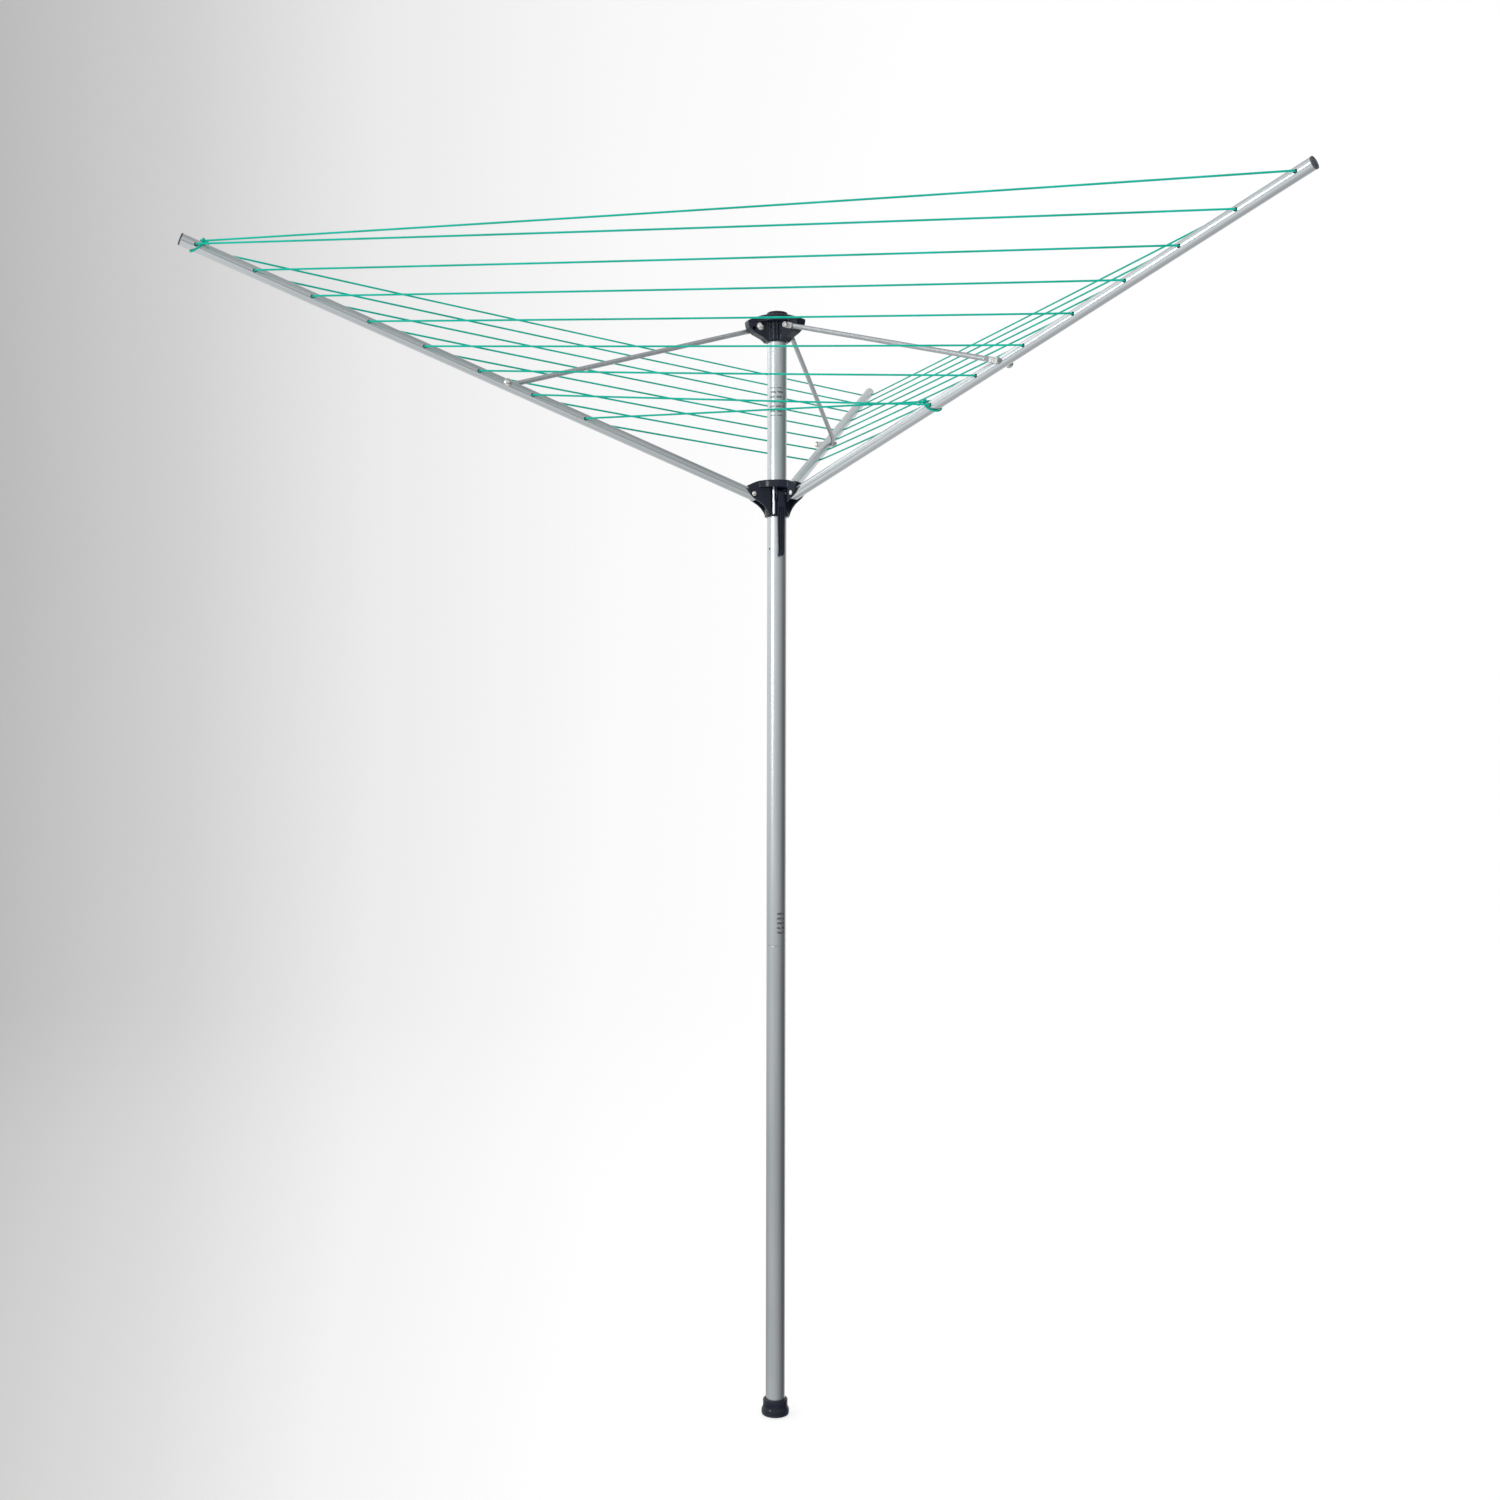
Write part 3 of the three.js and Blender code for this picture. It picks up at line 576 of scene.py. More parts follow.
def cut(made, cutters, kind="DIFFERENCE"):
    tool = joined(made.name + "_tool", cutters)
    step = made.modifiers.new("cut", "BOOLEAN")
    step.object = tool
    step.operation = kind
    step.solver = "EXACT"
    step.use_self = True
    applied(made)
    bpy.data.objects.remove(tool)
    return made


VOXEL = 0.00055


def moulded(made, voxel=VOXEL, smooth=6, faces=30000):
    """Turns a cut-up solid into one closed skin with softened edges, as moulded plastic has."""
    step = made.modifiers.new("skin", "REMESH")
    step.mode = "VOXEL"
    step.voxel_size = voxel
    step.use_smooth_shade = True
    applied(made)
    step = made.modifiers.new("soften", "SMOOTH")
    step.factor = 0.5
    step.iterations = smooth
    applied(made)
    if len(made.data.polygons) > faces:
        step = made.modifiers.new("lighten", "DECIMATE")
        step.ratio = faces / (2.0 * len(made.data.polygons))
        applied(made)
    return made


def shaded(made, angle=SHARP_ANGLE):
    """Smooth shading, with edges kept crisp where faces meet at more than the angle."""
    work = bmesh.new()
    work.from_mesh(made.data)
    for face in work.faces:
        face.smooth = True
    for edge in work.edges:
        edge.smooth = len(edge.link_faces) == 2 and edge.calc_face_angle(0) < angle
    work.to_mesh(made.data)
    work.free()
    return made


def round_normals(made, place, limit=0.93):
    """Gives a drilled tube along its place's X the shading of a true round."""
    mesh = made.data
    back = place.inverted()
    turn = place.to_3x3()
    corner_normals = [n.vector.copy() for n in mesh.corner_normals]
    for face in mesh.polygons:
        local = back.to_3x3() @ face.normal
        middle = back @ face.center
        radial = Vector((0, middle.y, middle.z))
        if radial.length < 1e-6 or abs(local.dot(radial.normalized())) < limit:
            continue
        way = 1 if local.dot(radial) > 0 else -1
        for corner in face.loop_indices:
            at = back @ mesh.vertices[mesh.loops[corner].vertex_index].co
            corner_normals[corner] = turn @ (Vector((0, at.y, at.z)).normalized() * way)
    mesh.normals_split_custom_set(corner_normals)
    return made


def finished(made, material, body, slot, *nodes):
    """Gives a piece its material and body, and hides the CAD nodes it stands for."""
    made.data.materials.clear()
    made.data.materials.append(material)
    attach(made, body)
    if nodes:
        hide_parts(*nodes)
    return made


# ---------- line ----------

CORD_SIDES = 12
SPAN_STEPS = 18
SAG = 0.001  # drop at the middle of a span, for each metre of it


def swept(name, points, radius, sides=CORD_SIDES):
    """A closed round tube along points, without twist."""
    points = [Vector(p) for p in points]
    verts, faces, uvs = [], [], []
    tangent = (points[1] - points[0]).normalized()
    across = tangent.orthogonal().normalized()
    run = 0.0
    runs = []
    for k, p in enumerate(points):
        before = points[max(k - 1, 0)]
        after = points[min(k + 1, len(points) - 1)]
        way = ((p - before).normalized() + (after - p).normalized()).normalized()
        across = (across - way * across.dot(way)).normalized()
        other = way.cross(across)
        run += (p - before).length
        runs.append(run)
        for i in range(sides):
            a = 2 * math.pi * i / sides
            verts.append(p + (across * math.cos(a) + other * math.sin(a)) * radius)
    for k in range(len(points) - 1):
        for i in range(sides):
            j = (i + 1) % sides
            faces.append((k * sides + i, k * sides + j, (k + 1) * sides + j, (k + 1) * sides + i))
            u0, u1 = i / sides * 0.01, (i + 1) / sides * 0.01
            uvs.append([(u0, runs[k]), (u1, runs[k]), (u1, runs[k + 1]), (u0, runs[k + 1])])
    for ring, end, out in ((0, points[0], -1), (len(points) - 1, points[-1], 1)):
        middle = len(verts)
        way = (points[1] - points[0]) if ring == 0 else (points[-1] - points[-2])
        verts.append(end + way.normalized() * out * radius * 0.35)
        for i in range(sides):
            a, b = ring * sides + i, ring * sides + (i + 1) % sides
            faces.append((a, b, middle) if out > 0 else (b, a, middle))
            uvs.append([(0, runs[ring])] * 3)
    return new_object(name, verts, faces, uvs)


def bend(before, corner, after, steps=6):
    """Points of a short bend that rounds a corner."""
    start = corner + (before - corner).normalized() * CORD_TURN
    end = corner + (after - corner).normalized() * CORD_TURN
    out = []
    for k in range(steps + 1):
        t = k / steps
        out.append(start * (1 - t) ** 2 + corner * 2 * t * (1 - t) + end * t**2)
    return out


def half_span(edge, far):
    """Points from the middle of a span to its near end, with the sag of a taut line."""
    length = (far - edge).length
    middle = (edge + far) / 2
    out = []
    for k in range(SPAN_STEPS):
        t = k / SPAN_STEPS
        p = middle.lerp(edge, t)
        p.z -= SAG * length * (1 - t * t)
        out.append(p)
    return out


def knot_centre(name, number, way):
    out = ARM_R + CORD_R + GAP + KNOT_RISE
    side = way * out * math.cos(KNOT_ANGLE)
    return on_arm(name, hole_at(number) - KNOT_BACK, side, out * math.sin(KNOT_ANGLE))


def line_route():
    """The line's corners in order: the first knot, both mouths of each hole, and the last knot."""
    reach = CORD_STUB + CORD_TURN
    route = [("left", HOLES, knot_centre("left", HOLES, 1))]
    for number in range(HOLES, 0, -1):
        for name in ("right", "back", "left"):
            route.append((name, number, on_arm(name, hole_at(number), -reach)))
            route.append((name, number, on_arm(name, hole_at(number), reach)))
    route.append(("right", 1, knot_centre("right", 1, -1)))
    return route


def bend_with_arm(piece):
    """Bakes the piece's placement into its mesh."""
    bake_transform(piece)


def make_line():
    """One piece for each passage through an arm, from mid-span to mid-span, and two tied ends."""
    route = line_route()
    pieces = []
    for k in range(1, len(route) - 1, 2):
        name, number, enter = route[k]
        leave = route[k + 1][2]
        before, after = route[k - 1][2], route[k + 2][2]
        points = half_span(enter, before)
        points += bend(before, enter, leave)
        points += bend(enter, leave, after)
        points += list(reversed(half_span(leave, after)))
        piece = swept(f"line_{name}_{number}", points, CORD_R)
        bend_with_arm(piece)
        pieces.append(piece)
    for name, number, way, k, other in (("left", HOLES, 1, 0, 1), ("right", 1, -1, -1, -2)):
        knot, far = route[k][2], route[other][2]
        points = half_span(knot, far) + [knot]
        strand = swept(f"line_end_{name}_{number}", points, CORD_R)
        piece = joined(f"line_tie_{name}", [strand, *tie_pieces(name, number, way)])
        bend_with_arm(piece)
        pieces.append(piece)
    for piece in pieces:
        piece.data.materials.append(PVC)
        shaded(piece)
        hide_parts("clothesline")
    return pieces


def tie_pieces(name, number, way):
    """A loop drawn round the arm, an overhand knot over it, and a short tail."""
    round_r = ARM_R + CORD_R + GAP
    start = KNOT_ANGLE if way > 0 else math.pi - KNOT_ANGLE
    loop = []
    for k in range(49):
        a = start + 2 * math.pi * k / 48
        along = hole_at(number) + 0.006 - 0.007 * (1 + math.cos(a - start))
        loop.append(on_arm(name, along, round_r * math.cos(a), round_r * math.sin(a)))
    centre = knot_centre(name, number, way)
    place = Matrix.Translation(centre) @ arm_frame(name).to_3x3().to_4x4()
    place = place @ Matrix.Rotation(start - math.pi / 2, 4, "X")
    knot = []
    for k in range(73):
        t = 2 * math.pi * k / 72
        x = (math.sin(t) + 2 * math.sin(2 * t)) * 0.00125 * 1.15
        y = (math.cos(t) - 2 * math.cos(2 * t)) * 0.00125 * 0.95
        knot.append(place @ Vector((x, y, -math.sin(3 * t) * 0.0014)))
    side = math.cos(KNOT_ANGLE)
    up = math.sin(KNOT_ANGLE)
    out = round_r + 0.003
    tail = []
    for k in range(13):
        d = TAIL * k / 12
        across = way * (out * side + d * 0.25)
        drop = out * up + d * 0.35 - d * d * 35
        tail.append(on_arm(name, hole_at(number) - KNOT_BACK - d * 0.6, across, drop))
    return [
        swept("loop", loop, CORD_R),
        swept("knot", knot, CORD_R * 0.95),
        swept("tail", tail, CORD_R),
    ]


make_line()

# ---------- mast ----------


def tube_profile(outer, inner, low, high, edge=0.0004):
    """A pipe's section with rounded edges, and a ring near each that keeps the shading straight."""
    outside = [(outer - edge, 0), (outer - edge * 0.3, edge * 0.3), (outer, edge)]
    outside.append((outer, edge + 0.0015))
    bottom = [(r, low + z) for r, z in outside]
    top = [(r, high - z) for r, z in reversed(outside)]
    return [(inner, low), *bottom, *top, (inner, high), (inner, low)]


def make_mast():
    inner = MAST_R - MAST_WALL
    upright = Matrix.Rotation(math.radians(-90), 4, "Y")
    section = tube_profile(MAST_R, inner, MAST_FOOT_Z, MAST_JOINT_Z - GAP / 2, 0.0008)
    lower = turned("mast_lower_section", section, 96)
    round_normals(shaded(lower), upright)
    finished(lower, MAST_ALUMINIUM, "mast", "aluminium_tube", "lower_mast_tube")

    section = tube_profile(MAST_R, inner, MAST_JOINT_Z + GAP / 2, MAST_TOP_Z, 0.0008)
    upper = turned("mast_upper_section", section, 96)
    at = turn_z(CATCH_HOLE_TURN) @ shift(0, 0, CATCH_HOLE_Z)
    cut(upper, [pin_shape("catch", CATCH_HOLE_R, -0.018, -0.008, at, 20)])
    round_normals(shaded(upper), upright)
    finished(upper, MAST_ALUMINIUM, "mast", "aluminium_tube", "upper_mast_tube")

    low, high = MAST_JOINT_Z - FERRULE_HALF, MAST_JOINT_Z + FERRULE_HALF
    section = tube_profile(inner - GAP, inner - 0.002, low, high, 0.0006)
    ferrule = turned("mast_joint_ferrule", section, 64)
    finished(shaded(ferrule), ALUMINIUM, "mast", "aluminium_tube", "mast_ferrule")


make_mast()

# ---------- foot cup ----------


def make_foot():
    """A collar with a rolled lip over a flange with a grip ring and a chamfered sole."""
    bore = MAST_R + CUP_PLAY
    outside = [
        (0, 0), (CUP_FLANGE_R - 0.0034, 0), (CUP_FLANGE_R - 0.0008, 0.0014),
        (CUP_FLANGE_R, 0.0042), (CUP_FLANGE_R, 0.0062), (CUP_FLANGE_R - 0.0005, 0.0068),
        (CUP_FLANGE_R, 0.0074), (CUP_FLANGE_R, 0.0096), (CUP_FLANGE_R - 0.0011, 0.0121),
        (CUP_R + 0.0003, 0.0138), (CUP_R - 0.0001, 0.0162), (CUP_R - 0.0002, 0.0228),
        (CUP_R, 0.0244), (CUP_R - 0.0002, CUP_H - 0.0012), (CUP_R - 0.0013, CUP_H),
        (bore + 0.0014, CUP_H), (bore, CUP_H - 0.0018), (bore, 0.004), (0, 0.004),
    ]
    cup = turned("foot_cup_body", rounded_profile(outside, 0.0007, 3), 96)
    finished(shaded(cup), NAVY, "foot", "navy_plastic", "foot_cup")


make_foot()

# ---------- hub shapes ----------


def soft_min(a, b, k):
    return -math.log(math.exp(-a / k) + math.exp(-b / k)) * k


def soft_max(a, b, k):
    return math.log(math.exp(a / k) + math.exp(b / k)) * k


def lobe_radius(angle, reach, half, bay):
    """Plan radius of a hub: three blunt lobes over a rounder middle."""
    turns = [angle - math.radians(a) for a in AZIMUTH.values()]
    nearest = min(abs((turn + math.pi) % (2 * math.pi) - math.pi) for turn in turns)
    width = half / max(math.sin(min(nearest, math.pi / 2)), 1e-3)
    end = reach / max(math.cos(min(nearest, math.radians(60))), 0.2)
    lobe = soft_min(min(width, 0.2), end, 0.0022)
    return soft_max(lobe, bay, 0.0016)


def lobed_cover(name, reach, half, bay, base, height_at, segments=360, rings=26):
    """A cover whose top follows height_at(radius) and whose plan is lobed, closed below at base."""
    verts, faces = [], []
    outline = [lobe_radius(2 * math.pi * i / segments, reach, half, bay) for i in range(segments)]
    steps = [(k / rings) ** 0.8 for k in range(1, rings + 1)]
    verts.append((0, 0, height_at(0)))
    for f in steps:
        for i, r in enumerate(outline):
            a = 2 * math.pi * i / segments
            verts.append((r * f * math.cos(a), r * f * math.sin(a), height_at(r * f)))
    for i, r in enumerate(outline):
        a = 2 * math.pi * i / segments
        verts.append((r * math.cos(a), r * math.sin(a), base))
    verts.append((0, 0, base))
    for i in range(segments):
        faces.append((0, 1 + i, 1 + (i + 1) % segments))
        for k in range(len(steps)):
            a = 1 + k * segments + i
            b = 1 + k * segments + (i + 1) % segments
            faces.append((a, a + segments, b + segments, b))
        last = 1 + len(steps) * segments
        faces.append((last + i, len(verts) - 1, last + (i + 1) % segments))
    made = new_object(name, verts, faces)
    weld(made)
    return made


def stepped(points):
    """Heights between listed (radius, height) points, eased so that no crease shows."""
    rs = [p[0] for p in points]
    zs = [p[1] for p in points]

    def height(r):
        return float(np.interp(r, rs, zs))

    return lambda r: (height(max(r - 0.0012, 0)) + 2 * height(r) + height(r + 0.0012)) / 4


def make_top_hub():
    crown = [
        (0, HUB_DOME_Z), (HUB_CAP_R, HUB_DOME_Z), (0.024, HUB_DOME_Z - 0.001),
        (0.034, HUB_RIM_Z + 0.0096), (0.045, HUB_RIM_Z + 0.0054),
        (LUG_REACH, HUB_RIM_Z + 0.0016), (0.06, HUB_RIM_Z - 0.0005),
    ]
    under = HUB_RIM_Z - 0.001
    dome = lobed_cover("dome", LUG_REACH, LUG_HALF + 0.0012, 0.0360, under, stepped(crown))
    outside = [
        (0, HUB_BASE_Z), (0.0190, HUB_BASE_Z), (0.0196, HUB_BASE_Z + 0.003),
        (0.0216, HUB_RIM_Z), (0, HUB_RIM_Z),
    ]
    neck = turned("neck", rounded_profile(outside, 0.001), 96)
    side = [
        (0.012, HUB_BASE_Z), (0.0188, HUB_BASE_Z), (0.026, HUB_BASE_Z + 0.006),
        (0.041, HUB_BASE_Z + 0.013), (0.050, HUB_BASE_Z + 0.020),
        (LUG_REACH - 0.0008, HUB_BASE_Z + 0.026), (LUG_REACH, HUB_RIM_Z), (0.012, HUB_RIM_Z),
    ]
    parts = [dome, neck]
    for azimuth in AZIMUTH.values():
        parts.append(prism("lug", side, -LUG_HALF, LUG_HALF, "Y", turn_z(azimuth)))
    foot = HUB_BASE_Z + 0.004
    rib = [(0.016, foot), (0.0206, foot), (0.024, HUB_RIM_Z), (0.016, HUB_RIM_Z)]
    for angle in range(0, 360, 15):
        if abs((angle - 90) % 120 - 60) <= 32:
            parts.append(prism("rib", rib, -0.0008, 0.0008, "Y", turn_z(angle)))
    hub = joined("top_hub_moulding", parts)
    ways = [
        bored("bore", MAST_R + GAP, HUB_BASE_Z - 0.005, MAST_TOP_Z + GAP, 96),
        bored("plug_way", 0.0063, MAST_TOP_Z, HUB_DOME_Z + 0.005, 48),
    ]
    for name in AZIMUTH:
        ways.append(pin_shape("bolt_way", BOLT_BORE, -0.02, 0.02, hub_pivot(name)))
        eye = hub_pivot(name) @ shift(0.0105, 0, -0.0034)
        ways.append(pin_shape("eye", 0.0029, -0.02, 0.02, eye))
    cut(hub, ways)
    moulded(hub)
    finished(shaded(hub, math.radians(50)), NAVY, "mast", "navy_plastic", "top_hub")

    disc = [
        (0, HUB_DOME_Z - 0.009), (0.006, HUB_DOME_Z - 0.009), (0.006, HUB_DOME_Z + GAP),
        (HUB_CAP_R, HUB_DOME_Z + GAP), (HUB_CAP_R, HUB_CAP_Z - 0.0018),
        (HUB_CAP_R - 0.0026, HUB_CAP_Z - 0.0006), (0.0105, HUB_CAP_Z - 0.0003),
        (0.0100, HUB_CAP_Z - 0.0009), (0.0040, HUB_CAP_Z - 0.0009),
        (0.0034, HUB_CAP_Z - 0.0003), (0, HUB_CAP_Z - 0.0001),
    ]
    cap = turned("top_cap_disc", rounded_profile(disc, 0.0009), 96)
    finished(shaded(cap), NAVY, "mast", "navy_plastic", "top_cap")


make_top_hub()

# ---------- runner and release lever ----------


LEVER_PLACE = at_runner(LEVER_AZIMUTH)
LEVER_PIN = shift(LEVER_PIN_R, 0, LEVER_PIN_Z)
LEVER_VOXEL = 0.0003
FUSING_VOXEL = 0.0006


def make_runner():
    outside = [
        (0, RUNNER_BASE), (RUNNER_R, RUNNER_BASE), (RUNNER_R, RUNNER_BASE + 0.003),
        (RUNNER_R - 0.0006, RUNNER_BASE + 0.0036), (RUNNER_R - 0.0006, RUNNER_TOP),
        (0, RUNNER_TOP),
    ]
    sleeve = turned("sleeve", rounded_profile(outside, 0.0006), 96)
    low = (0.012, -WINDOW_HALF, WINDOW_BASE)
    high = (0.0241, WINDOW_HALF, RUNNER_TOP - RIM_T - 0.0003)
    cut(sleeve, [block("window", low, high, turn_z(WINDOW_AZIMUTH))])
    crown = [
        (0, RUNNER_TOP), (0.028, RUNNER_TOP), (0.037, RUNNER_TOP - 0.0014),
        (0.045, RUNNER_TOP - 0.0046), (LUG_REACH, RUNNER_TOP - 0.0086),
        (0.06, RUNNER_TOP - 0.0100),
    ]
    under = RUNNER_TOP - RIM_T
    rim = lobed_cover("rim", LUG_REACH, PLATE_OUT, 0.0370, under, stepped(crown))
    side = [
        (0.014, -0.0351), (0.0158, -0.0351), (0.019, -0.028), (0.0235, -0.0215),
        (0.0295, -0.016), (0.036, -0.0118), (0.043, -0.0076), (0.049, -0.002),
        (LUG_REACH - 0.001, 0.005), (LUG_REACH, 0.010), (LUG_REACH - 0.001, 0.013),
        (0.014, 0.017),
    ]
    parts = [sleeve, rim]
    for azimuth in AZIMUTH.values():
        place = at_runner(azimuth)
        parts.append(prism("cheek", side, PLATE_IN, PLATE_OUT, "Y", place))
        parts.append(prism("cheek", side, -PLATE_OUT, -PLATE_IN, "Y", place))
    bay = LEVER_W / 2 + 0.0005
    ear = [(0.015, -0.010), (0.022, -0.010), (0.0276, -0.003), (0.0276, 0.005)]
    ear += [(0.026, 0.010), (0.015, 0.010)]
    parts.append(prism("ear", ear, bay, bay + EAR_T, "Y", LEVER_PLACE))
    parts.append(prism("ear", ear, -bay - EAR_T, -bay, "Y", LEVER_PLACE))
    web = [(0.016, -0.030), (0.0212, -0.030), (0.030, 0.009), (0.034, 0.010), (0.016, 0.010)]
    for angle in (30, 150):
        parts.append(prism("web", web, -0.0009, 0.0009, "Y", at_runner(angle)))
    runner = moulded(joined("runner_moulding", parts), FUSING_VOXEL, 0, 60000)

    ways = []
    for azimuth in AZIMUTH.values():
        place = at_runner(azimuth)
        ways.append(block("slot", (0.0235, -PLATE_IN, -0.05), (0.08, PLATE_IN, 0.03), place))
        way = place @ shift(ARM_PIVOT_R, 0, 0)
        ways.append(pin_shape("pivot_way", PIVOT_BORE, -0.03, 0.03, way))
    low, high = (RUNNER_R - 0.0022, -bay, -0.040), (LEVER_BAY, bay, 0.009)
    ways.append(block("bay", low, high, LEVER_PLACE))
    pin = LEVER_PLACE @ LEVER_PIN
    ways.append(pin_shape("pin_way", PIN_BORE, -0.012, 0.012, pin, 20))
    low, high = (0.010, -0.0028, -0.020), (0.0235, 0.0028, -0.012)
    ways.append(block("catch_way", low, high, LEVER_PLACE))
    cut(runner, ways)
    low, high = ARM_PIVOT_Z - 0.05, ARM_PIVOT_Z + 0.03
    cut(runner, [bored("mast_way", MAST_R + CUP_PLAY, low, high, 96)])
    moulded(runner)
    finished(shaded(runner, math.radians(50)), NAVY, "runner", "navy_plastic", "runner")


def make_lever():
    """A tapered, ribbed grip with a catch that points at the mast."""
    half = LEVER_W / 2
    side = [
        (0.021, 0.0068), (0.0191, 0.001), (0.0190, -0.030), (0.0186, -0.042), (0.0182, -0.096),
        (0.0195, -0.1015), (0.0238, -0.1018), (0.0264, -0.097), (0.0256, -0.060),
        (0.0259, -0.034), (0.0275, -0.020), (0.0273, -0.006), (0.0266, 0.004), (0.0240, 0.0078),
    ]
    rounded = rounded_profile([*side, side[0]], 0.0025, 5)[:-1]
    lever = prism("release_lever_grip", rounded, -half, half)
    front = [
        (-half, 0.010), (-half, -0.030), (-half + 0.001, -0.098), (-half + 0.003, -0.104),
        (half - 0.003, -0.104), (half - 0.001, -0.098), (half, -0.030), (half, 0.010),
    ]
    facing = shift(0.05, 0, 0) @ turn_z(90)
    plate = prism("front", front, 0.0, 0.05, "Y", facing)
    cut(lever, [plate], "INTERSECT")
    grooves = []
    for y in (-0.0032, 0.0, 0.0032):
        grooves.append(block("groove", (0.0243, y - 0.0006, -0.094), (0.040, y + 0.0006, -0.022)))
    cut(lever, [*grooves, pin_shape("pin_way", PIN_BORE, -0.012, 0.012, LEVER_PIN, 20)])
    nose = block("nose", (0.017, -0.002, -0.0186), (0.0205, 0.002, -0.0134))
    lever = joined("release_lever_grip", [lever, nose])
    moulded(lever, LEVER_VOXEL, 4, 24000)
    lever.data.transform(LEVER_PLACE)
    finished(shaded(lever, math.radians(50)), NAVY, "lever", "navy_plastic", "release_lever")


make_runner()
make_lever()

# ---------- fasteners ----------


def dome_points(r, height, steps=8):
    """A domed head's profile from its rim to its crown, from height 0."""
    out = [(r * 0.93, 0.0), (r, height * 0.14), (r, height * 0.32)]
    for k in range(1, steps + 1):
        a = k / steps * math.pi / 2
        out.append((0 if k == steps else r * math.cos(a), height * (0.32 + 0.68 * math.sin(a))))
    return out


def threaded(r, start, end, pitch=0.0007):
    """A shaft's outline with the crests and roots of a fine thread, from start to end."""
    out = []
    count = int(abs(start - end) / pitch)
    for k in range(count):
        z = start + (end - start) * (k + 0.25) / count
        out += [(r, z), (r * 0.91, z + (end - start) * 0.5 / count)]
    return out


def bolt(name, seat, placed, body, node):
    """A domed bolt: head to +Y of its seat, and a threaded end past the strut's flat."""
    tail = -FLAT_OUTER - BOLT_END
    thread = threaded(BOLT_R, tail + 0.006, tail + 0.0006)
    shank = [(0, tail), (BOLT_R * 0.7, tail), (BOLT_R * 0.95, tail + 0.0006)]
    shank += [*reversed(thread), (BOLT_R, tail + 0.007), (BOLT_R, seat)]
    flange = [(BOLT_HEAD * 0.93, 0), (BOLT_HEAD, 0.0005)]
    flange += [(BOLT_HEAD, 0.0011), (BOLT_HEAD * 0.92, 0.0013)]
    crown_r = BOLT_HEAD * 0.89
    crown = [(r, 0.0013 + z) for r, z in dome_points(crown_r, BOLT_HEAD_H - 0.0013)[2:]]
    head = [(r, seat + z) for r, z in [*flange, *crown]]
    made = turned(name, [*shank, *head], 48, ALONG_Y)
    made.data.transform(placed)
    finished(shaded(made), STEEL, body, "bright_steel", node)


def nut(name, placed, body, node):
    """A hexagon nut with chamfered corners."""
    outline = []
    for k in range(6):
        a = math.radians(60 * k)
        outline.append((NUT_R * math.cos(a), NUT_R * math.sin(a)))
    made = prism(name, outline, 0, NUT_H, "Z")
    corner = NUT_R * 0.87
    chamfer = [
        (0, -0.0002), (corner, -0.0002), (NUT_R + 0.0001, 0.0006),
        (NUT_R + 0.0001, NUT_H - 0.0006), (corner, NUT_H + 0.0002), (0, NUT_H + 0.0002),
    ]
    cut(made, [turned("chamfer", chamfer, 48)], "INTERSECT")
    cut(made, [bored("way", BOLT_BORE, -0.001, NUT_H + 0.001, 32)])
    seat = shift(0, -FLAT_OUTER - GAP, 0)
    made.data.transform(placed @ seat @ ALONG_Y.inverted())
    finished(shaded(made, math.radians(20)), STEEL, body, "bright_steel", node)


def ring(name, r, low, high, placed, material, slot, body, node):
    """A washer or spacer about its place's Y, with small chamfers."""
    profile = [
        (BOLT_BORE, low), (r - 0.0002, low), (r, low + 0.0002), (r, high - 0.0002),
        (r - 0.0002, high), (BOLT_BORE, high), (BOLT_BORE, low),
    ]
    made = turned(name, profile, 48, ALONG_Y)
    made.data.transform(placed)
    finished(shaded(made), material, body, slot, node)


def rivet(name, r, half, head_r, head_h, placed, body, node):
    """One rivet with a domed head on either side."""
    head = [(r_, half + z) for r_, z in dome_points(head_r, head_h, 7)]
    tail = [(r_, -z) for r_, z in reversed(head)]
    made = turned(name, [*tail, (r, -half), (r, half), *head], 40, ALONG_Y)
    made.data.transform(placed)
    finished(shaded(made), STEEL, body, "bright_steel", node)


# ---------- arms and struts ----------


